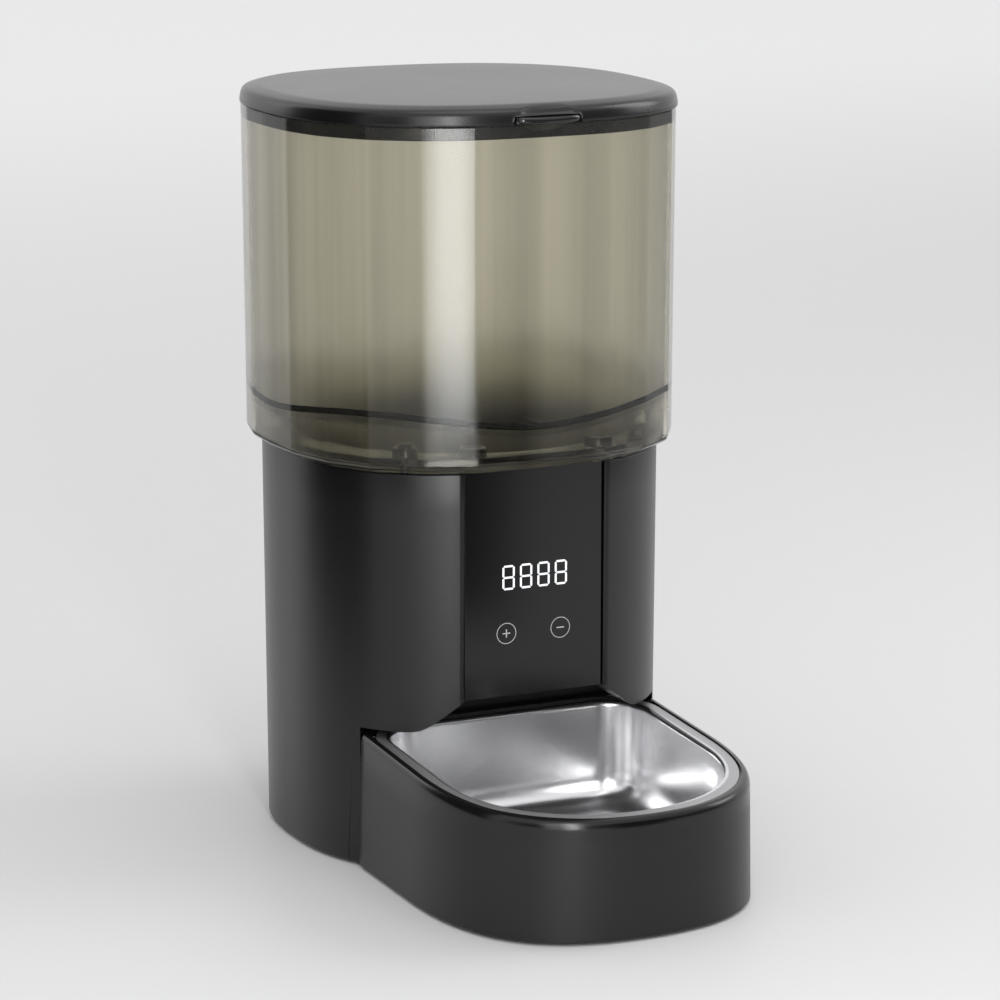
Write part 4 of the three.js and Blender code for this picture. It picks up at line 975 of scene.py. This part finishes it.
class FEEDER_OT_panel(FeederOperator):
    """Recessed gloss panel, four display digits and two touch keys"""

    bl_idname = "feeder.panel"
    bl_label = "Front panel"

    def execute(self, context):
        sizes, colours = self.settings(context)
        low, high = PANEL_LOW, PANEL_HIGH
        half, face = PANEL_HALF, PANEL_FACE
        corners = [(-half, low[2], 0.4), (half, low[2], 0.4), (half, high[2], 0.2), (-half, high[2], 0.2)]
        outline = round_profile(corners, steps=3)
        inset = np.array([0.0, 0.0, 0.06, 0.62, 0.75, 0.9, 1.3])
        depth = np.array([2.0, 0.70, 0.60, 0.04, 0.0, 0.0, 0.0])
        middle = np.array([0.0, (low[2] + high[2]) / 2])
        size = np.array([half, (high[2] - low[2]) / 2])
        rows = np.array([(outline - middle) * (1 - i * np.array([1.0, 0.15]) / size) + middle for i in inset])
        rows = np.dstack([rows[..., 0], face + depth[:, None] + 0 * rows[..., 0], rows[..., 1]])
        panel = make_capped("gloss_panel", rows, 20)
        gloss = gloss_black("panel_gloss", colours.panel, 0.16)
        self.finish_piece(panel, gloss, "tower", "gloss_black", "front_panel")
        white = lit_print("display_white", tuple(c * 0.8 for c in colours.light), 0.5)
        self.digits(sizes, white)
        self.keys(sizes, lit_print("key_white", tuple(c * 0.42 for c in colours.light), 0.15))
        return {"FINISHED"}

    def digits(self, sizes, white):
        z = (DISPLAY_LOW[2] + DISPLAY_HIGH[2]) / 2
        plates = []
        for k in range(4):
            shift = np.array([(k - 1.5) * sizes.digit_pitch + 0.6, z])
            for bar in segment_outlines(sizes.digit_width, sizes.digit_height, 0.88):
                plates.append(flat_piece(bar + shift, PANEL_FACE - 0.06))
        piece = merge_pieces("display_digits", plates)
        self.finish_piece(piece, white, "tower", "gloss_black")

    def keys(self, sizes, white):
        z = (KEY_LOW[2] + KEY_HIGH[2]) / 2
        x = (KEY_LOW[0] + KEY_HIGH[0]) / 2
        y = PANEL_FACE - 0.06
        r = sizes.key_ring / 2
        a, b = 1.8, 0.25
        plus = [(-a, -b), (-b, -b), (-b, -a), (b, -a), (b, -b), (a, -b),
                (a, b), (b, b), (b, a), (-b, a), (-b, b), (-a, b)]
        minus = [(-a, -b), (a, -b), (a, b), (-a, b)]
        for name, sign, mark in (("key_plus", -1, plus), ("key_minus", 1, minus)):
            at = np.array([sign * x, z])
            parts = [flat_ring(sign * x, z, r, r - 0.32, y), flat_piece(np.array(mark) + at, y)]
            self.finish_piece(merge_pieces(name, parts), white, "tower", "gloss_black")


# --------------------------------------------------------------- tray and bowl


def tray_top(y):
    """The rim is a plane that falls towards the front."""
    return RIM_HEIGHT + RIM_SLOPE * (y - RIM_LEVEL_Y)


def scoop_plan(half, back, front, back_corner, count=64):
    """Closed outline: arcs at the back corners, straight sides, and one sweep round the
    front, the cubic curve from (half, front + corner) by (half, front + ease) and
    (0.59 half, front) to (0, front)."""
    inset = TRAY_HALF - half
    corner = 81 - 1.95 * inset
    ease = (0.22 + 0.0155 * inset) * corner
    t = np.linspace(0, 1, count)[:, None]
    p = np.array([[half, front + corner], [half, front + ease], [half * 0.59, front], [0, front]])
    sweep = (1 - t) ** 3 * p[0] + 3 * (1 - t) ** 2 * t * p[1] + 3 * (1 - t) * t**2 * p[2] + t**3 * p[3]
    turn = np.linspace(math.pi / 2, 0, count // 3)
    round_corner = back_corner * np.stack([np.cos(turn), np.sin(turn)], -1)
    arc = np.array([half - back_corner, back - back_corner]) + round_corner
    straight = np.linspace(arc[-1], sweep[0], 14)[1:-1]
    right = np.vstack([arc, straight, sweep])
    rear = np.linspace([0, back], arc[0], 10)[:-1]
    right = np.vstack([rear, right])
    left = right[1:-1][::-1] * np.array([-1, 1])
    return np.vstack([right, left])


def bowl_plan(grow):
    """The bowl's outline, grown outwards by a distance. More than 8 mm inside its lip the
    outline shrinks towards its own middle instead, so that it never folds over itself."""
    near = max(grow, -8.0)
    outline = scoop_plan(60.2 + near, -48.6 + near, -178.6 - near, 18 + near)
    middle = np.array([0.0, -113.6])
    return middle + (outline - middle) * (1 - (near - grow) / 56)


class FEEDER_OT_bowl(FeederOperator):
    """Polished steel bowl with a satin flange"""

    bl_idname = "feeder.bowl"
    bl_label = "Bowl"

    def execute(self, context):
        sizes, colours = self.settings(context)
        r = sizes.bowl_rounding
        floor, lip = BOWL_FLOOR - SHELL_BOTTOM, BOWL_LIP
        edge = -r - 4
        inside = [(edge, floor, 0), (-0.6, floor, r), (0.0, lip, 2.6), (6.4, lip, 0)]
        inside = round_profile(inside, closed=False, steps=12)
        under = [(6.4, lip - 1, 0), (1.0, lip - 1, 1.6), (0.4, floor - 1, r + 1), (edge, floor - 1, 0)]
        under = round_profile(under, closed=False, steps=12)
        shrink = np.linspace(0.05, 0.94, 9)
        profile = np.vstack([[(edge, floor)] * 9, inside, under, [(edge, floor - 1)] * 9])
        share = np.concatenate([shrink, np.ones(len(inside) + len(under)), shrink[::-1]])
        loops = np.array([bowl_plan(g) for g in profile[:, 0]])
        centre = loops.mean(1, keepdims=True)
        loops = centre + (loops - centre) * share[:, None, None]
        height = RIM_HEIGHT - SHELL_BOTTOM
        rise = profile[:, 1:] / height
        z = SHELL_BOTTOM + profile[:, 1:] + rise * RIM_SLOPE * (loops[..., 1] - RIM_LEVEL_Y)
        rows = np.dstack([loops, z])
        piece = make_capped("steel_bowl", rows, 40)
        store(piece, "satin", np.clip((profile[:, 0] - 1.9) / 0.6, 0, 1), loops.shape[1])
        # painted shade: marks the floor and lower round, whose colour the finish darkens
        store(piece, "deep", np.clip((-profile[:, 0] - 3) / 5, 0, 1), loops.shape[1])
        self.finish_piece(piece, bowl_finish("bowl_polish", colours.steel), "tray", "bowl_steel", "bowl")
        return {"FINISHED"}


class FEEDER_OT_tray(FeederOperator):
    """Tray that slides into the tower, with a rounded rim round the bowl"""

    bl_idname = "feeder.tray"
    bl_label = "Tray"

    def execute(self, context):
        _, colours = self.settings(context)
        centre = np.array([0.0, -112.0])
        outer = self.outline()
        offset = outer - centre
        angle = np.unwrap(np.arctan2(offset[:, 0], -offset[:, 1]))
        reach = np.hypot(offset[:, 0], offset[:, 1])
        inner = bowl_plan(0) - centre
        inner_angle = np.arctan2(inner[:, 0], -inner[:, 1])
        order = np.argsort(inner_angle)
        bowl_reach = np.interp((angle + math.pi) % (2 * math.pi) - math.pi, inner_angle[order],
                               np.hypot(inner[:, 0], inner[:, 1])[order], period=2 * math.pi)
        ray = offset / reach[:, None]
        normal_share = self.normal_share(outer, ray)
        steps = [(0.25, 0.0), (0, 0.3), (0, 20), (0, 40), (0, -4.2), (0.1, -2.6), (0.5, -1.4),
                 (1.2, -0.5), (2.3, -0.05), (3.2, -0.05)]
        rows = []
        for inset, level in steps:
            rows.append(self.row(outer, ray, normal_share, inset, level))
        ledge = ((7.6, -0.25), (7.1, -0.7), (6.95, -2.0), (1.9, -2.0), (1.6, -2.3), (1.6, -4.2), (1.9, -4.5))
        for grow, level in ledge:
            r = bowl_reach + grow / np.clip(normal_share, 0.6, 1)
            rows.append(self.inner_row(centre, ray, r, level))
        for inset, level in ((2.8, -4.5), (2.5, -5.0), (2.5, 20), (2.5, 0.0)):
            rows.append(self.row(outer, ray, normal_share, inset, level))
        tray = make_ring("tray_moulding", np.array(rows)[:, ::-1], 28)
        levels = np.arange(len(rows))
        store(tray, "polish", ((levels >= 4) & (levels <= 12)) * 1.0, len(outer))
        black = moulded_black("tray_satin_black", colours.shell, 0.34, shine=0.47)
        self.finish_piece(tray, black, "tray", "black_shell", "tray_body")
        return {"FINISHED"}

    @staticmethod
    def outline():
        """The scoop-shaped outline, drawn in on both sides behind the tower's front."""
        broad = scoop_plan(TRAY_HALF, -53.5, TRAY_FRONT, 1.0, 72)
        half = len(broad) // 2
        right = broad[: half + 1]
        right = right[right[:, 1] < -54.6]
        turn = np.linspace(math.pi / 2, 0, 10)
        neck_half, back, r = TRAY_NECK_HALF, TRAY_BACK, 6.0
        corner = np.stack([neck_half - r + r * np.cos(turn), back - r + r * np.sin(turn)], -1)
        rear = np.linspace([0, back], corner[0], 16)[:-1]
        side = np.array([[neck_half, -47.0], [neck_half, -50.0], [neck_half, -52.9], [neck_half + 0.4, -53.4],
                         [TRAY_HALF - 0.6, -53.5], [TRAY_HALF - 0.15, -53.7], [TRAY_HALF, -54.1]])
        right = np.vstack([rear, corner, side, right])
        left = right[1:-1][::-1] * np.array([-1, 1])
        return np.vstack([right, left])

    @staticmethod
    def normal_share(outer, ray):
        """Cosine between each ray and the outline's own normal."""
        along = np.roll(outer, -1, 0) - np.roll(outer, 1, 0)
        normal = np.stack([along[:, 1], -along[:, 0]], -1)
        normal /= np.linalg.norm(normal, axis=1)[:, None]
        return np.abs((normal * ray).sum(1))

    @staticmethod
    def row(outer, ray, share, inset, level):
        """A loop a set distance inside the outline. A level below 0 hangs from the rim; 0 and
        above stands on the tray's foot. The sides lean in by 1.4 mm from foot to rim."""
        xy = outer - ray * (inset / np.clip(share, 0.75, 1))[:, None]
        top = tray_top(xy[:, 1])
        z = top + level if level < 0 else np.full(len(xy), SHELL_BOTTOM + level)
        lean = 1.4 * (z - SHELL_BOTTOM) / (RIM_HEIGHT - SHELL_BOTTOM) / TRAY_HALF
        x = xy[:, 0] * np.where(xy[:, 1] < TRAY_SHOULDER, 1 - lean, 1)
        return np.stack([x, xy[:, 1], z], -1)

    @staticmethod
    def inner_row(centre, ray, reach, level):
        xy = centre + ray * reach[:, None]
        return np.stack([xy[:, 0], xy[:, 1], tray_top(xy[:, 1]) + level], -1)


# ---------------------------------------------------------- pieces kept as made


class FEEDER_OT_works(FeederOperator):
    """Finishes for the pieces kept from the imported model: dosing works, base and electronics"""

    bl_idname = "feeder.works"
    bl_label = "Works and base"

    def execute(self, context):
        _, colours = self.settings(context)
        finishes = {
            "grey_plastic": plain_moulding("works_grey", (0.030, 0.031, 0.033), 0.5),
            "black_shell": moulded_black("base_black", colours.shell, 0.5),
            "gloss_black": gloss_black("inlet_black", (0.015, 0.015, 0.016), 0.2),
            "smoke_clear": smoke_clear("smoke_plain", colours.smoke),
            "black_rubber": soft_rubber("foot_rubber", (0.015, 0.015, 0.015)),
            "silicone": soft_rubber("vane_silicone", (0.33, 0.35, 0.36)),
            "plain_steel": metal("turned_steel", (0.52, 0.52, 0.53), 0.34),
            "bowl_steel": metal("sheet_steel", (0.72, 0.72, 0.73), 0.25),
            "nylon": plain_moulding("gear_nylon", (0.78, 0.75, 0.66), 0.42),
            "circuit_board": board_finish("board_green", (0.02, 0.12, 0.055)),
            "cell_jacket": gloss_black("cell_sleeve", (0.05, 0.10, 0.22), 0.22),
            "copper_sheet": metal("contact_copper", (0.80, 0.46, 0.27), 0.3),
            "wire_red": soft_rubber("wire_red_cover", (0.35, 0.03, 0.025)),
            "wire_black": soft_rubber("wire_black_cover", (0.012, 0.012, 0.012)),
        }
        slots = {s["node"]: s["material_slot"] for s in frame["record"]["subparts"]}
        for name, node in frame["nodes"].items():
            if node.hide_render:
                continue
            node.data.materials.clear()
            node.data.materials.append(finishes[slots[name]])
        return {"FINISHED"}


# ----------------------------------------------------------------------- stage


STUDIO_LAMPS = (  # name, place, aim, width, height in metres, watts
    ("strip", (-0.27, -0.90, 0.40), (-0.04, 0.0, 0.28), 0.105, 0.80, 3.2),
    ("front", (-0.50, -1.00, 0.45), (0.0, 0.0, 0.28), 0.50, 0.90, 3.2),
    ("key", (1.25, -0.25, 0.95), (0.0, 0.0, 0.10), 0.7, 0.9, 7.0),
    ("rim", (-0.90, 1.10, 0.90), (0.0, 0.0, 0.20), 0.6, 1.0, 1.5),
    ("top", (0.10, -0.35, 1.50), (0.0, -0.2, 0.20), 0.9, 0.9, 3.2),
)


class Surround(Finish):
    """The studio's surround: a world instead of a material, coloured by direction."""

    def __init__(self, name, strength):
        self.world = bpy.data.worlds.new(name)
        self.world.use_nodes = True
        self.tree = self.world.node_tree
        self.shader = self.tree.nodes["Background"]
        self.shader.inputs["Strength"].default_value = strength
        coordinates = self.node("ShaderNodeTexCoord", {}, {})
        self.place = Wire(self, coordinates.outputs["Generated"])


class FEEDER_OT_stage(FeederOperator):
    """Pale flat floor, soft lights, dark cards and the camera"""

    bl_idname = "feeder.stage"
    bl_label = "Stage"

    def execute(self, context):
        _, colours = self.settings(context)
        self.backdrop(colours.floor)
        self.lights(context.scene)
        self.dark_card("card_left", (-430, -80), (-430, 420), 700)
        self.dark_card("card_front", (30, -420), (175, -420), 200)
        camera = bpy.data.cameras.new("studio_camera")
        camera.lens, camera.sensor_width = 134.62, 36.0
        camera.clip_start, camera.clip_end = 0.05, 50.0
        holder = bpy.data.objects.new("studio_camera", camera)
        holder.location = (-0.6668, -1.4193, 0.4996)
        holder.rotation_euler = (math.radians(77.583), 0.0, math.radians(-25.069))
        context.scene.collection.objects.link(holder)
        context.scene.camera = holder
        return {"FINISHED"}

    @staticmethod
    def backdrop(colour):
        """A flat floor, round and wide, so that it stays plain from every side. Near the feeder its
        colour is darkened to about two thirds as a painted shadow, fading out far behind it."""
        turn = np.linspace(0, 2 * math.pi, 96, endpoint=False)
        radius = np.array([1.0, 600.0, 2500.0, 6000.0])[:, None]
        rows = np.dstack([radius * np.cos(turn), radius * np.sin(turn), 0 * radius - 0.05 + 0 * turn])
        points = rows.reshape(-1, 3)
        hub = np.arange(95, -1, -1)[None]
        floor = make_mesh("studio_floor", points, [grid_faces(4, 96, False, True), hub], 180)
        f = Finish("floor_with_painted_shadow", Roughness=0.55, Specular_IOR_Level=0.25)
        fibre = f.noise(40.0, 5.0)
        behind = f.axis("Y").band(0.2, 3.2)
        bright = f.blend(fibre, tuple(c * 0.985 for c in colour), colour)
        # painted shadow: near the feeder and in front of it the floor's colour is cut to about two thirds
        near = f.blend(fibre, tuple(c * 0.65 for c in colour), tuple(c * 0.66 for c in colour))
        f.feed("Base Color", f.blend(behind, near, bright))
        floor.data.materials.append(f.material)

    @staticmethod
    def lights(scene):
        """A tall strip and a broad panel in front, a key from the right, a rear left rim light,
        a top panel, and a surround that is pale but dark low in front."""
        surround = Surround("studio_surround", 0.95)
        low_front = (1 - surround.axis("Z").band(0.15, 0.65)) * (1 - surround.axis("Y").band(-0.6, 0.0))
        surround.feed("Color", surround.blend(low_front, (0.96, 0.96, 0.97), (0.09, 0.09, 0.09)))
        scene.world = surround.world
        scene.view_settings.view_transform = "Standard"
        for name, at, to, wide, tall, power in STUDIO_LAMPS:
            lamp = bpy.data.lights.new("studio_" + name, "AREA")
            lamp.shape, lamp.size, lamp.size_y, lamp.energy = "RECTANGLE", wide, tall, power
            holder = bpy.data.objects.new("studio_" + name, lamp)
            aim = np.array(to) - np.array(at)
            holder.location = at
            tilt = math.atan2(math.hypot(aim[0], aim[1]), -aim[2])
            holder.rotation_euler = (tilt, 0.0, math.atan2(-aim[0], aim[1]))
            holder.visible_camera = False
            scene.collection.objects.link(holder)

    @staticmethod
    def dark_card(name, left, right, height):
        """An upright dark sheet between two floor points, seen by reflections alone."""
        u, v = np.meshgrid(np.linspace(0, 1, 9), np.linspace(0, 1, 9))
        x = left[0] + (right[0] - left[0]) * u
        y = left[1] + (right[1] - left[1]) * u - AXIS_Y
        rows = np.dstack([x, y, height * v])
        card = make_mesh(name, rows.reshape(-1, 3), [grid_faces(9, 9, False, False)], 180)
        f = Finish("card_felt_" + name, Roughness=0.95, Specular_IOR_Level=0.1)
        nap = f.noise(300.0, 4.0)
        f.feed("Base Color", f.blend(nap, (0.01, 0.01, 0.01), (0.02, 0.02, 0.02)))
        card.data.materials.append(f.material)
        card.visible_camera = False
        card.visible_diffuse = False
        card.visible_shadow = False
        card.visible_transmission = False


class FEEDER_PT_panel(bpy.types.Panel):
    """Lists the builders and the values they use"""

    bl_label = "Pet feeder"
    bl_idname = "FEEDER_PT_panel"
    bl_space_type = "VIEW_3D"
    bl_region_type = "UI"
    bl_category = "Feeder"

    def draw(self, context):
        for group in (context.scene.feeder_sizes, context.scene.feeder_colours):
            box = self.layout.box()
            for name in group.__annotations__:
                box.prop(group, name)
        for maker in BUILD_ORDER:
            self.layout.operator(maker.bl_idname)


BUILD_ORDER = (FEEDER_OT_lid, FEEDER_OT_tank, FEEDER_OT_tower, FEEDER_OT_panel, FEEDER_OT_tray,
               FEEDER_OT_bowl, FEEDER_OT_works, FEEDER_OT_stage)
CLASSES = (FeederSizes, FeederColours, *BUILD_ORDER, FEEDER_PT_panel)


def register():
    for kind in CLASSES:
        bpy.utils.register_class(kind)
    bpy.types.Scene.feeder_sizes = PointerProperty(type=FeederSizes)
    bpy.types.Scene.feeder_colours = PointerProperty(type=FeederColours)


def unregister():
    del bpy.types.Scene.feeder_colours
    del bpy.types.Scene.feeder_sizes
    for kind in reversed(CLASSES):
        bpy.utils.unregister_class(kind)


def main():
    """Builds everything in order."""
    register()
    for maker in BUILD_ORDER:
        group, name = maker.bl_idname.split(".")
        getattr(getattr(bpy.ops, group), name)()


if __name__ == "__main__":
    main()
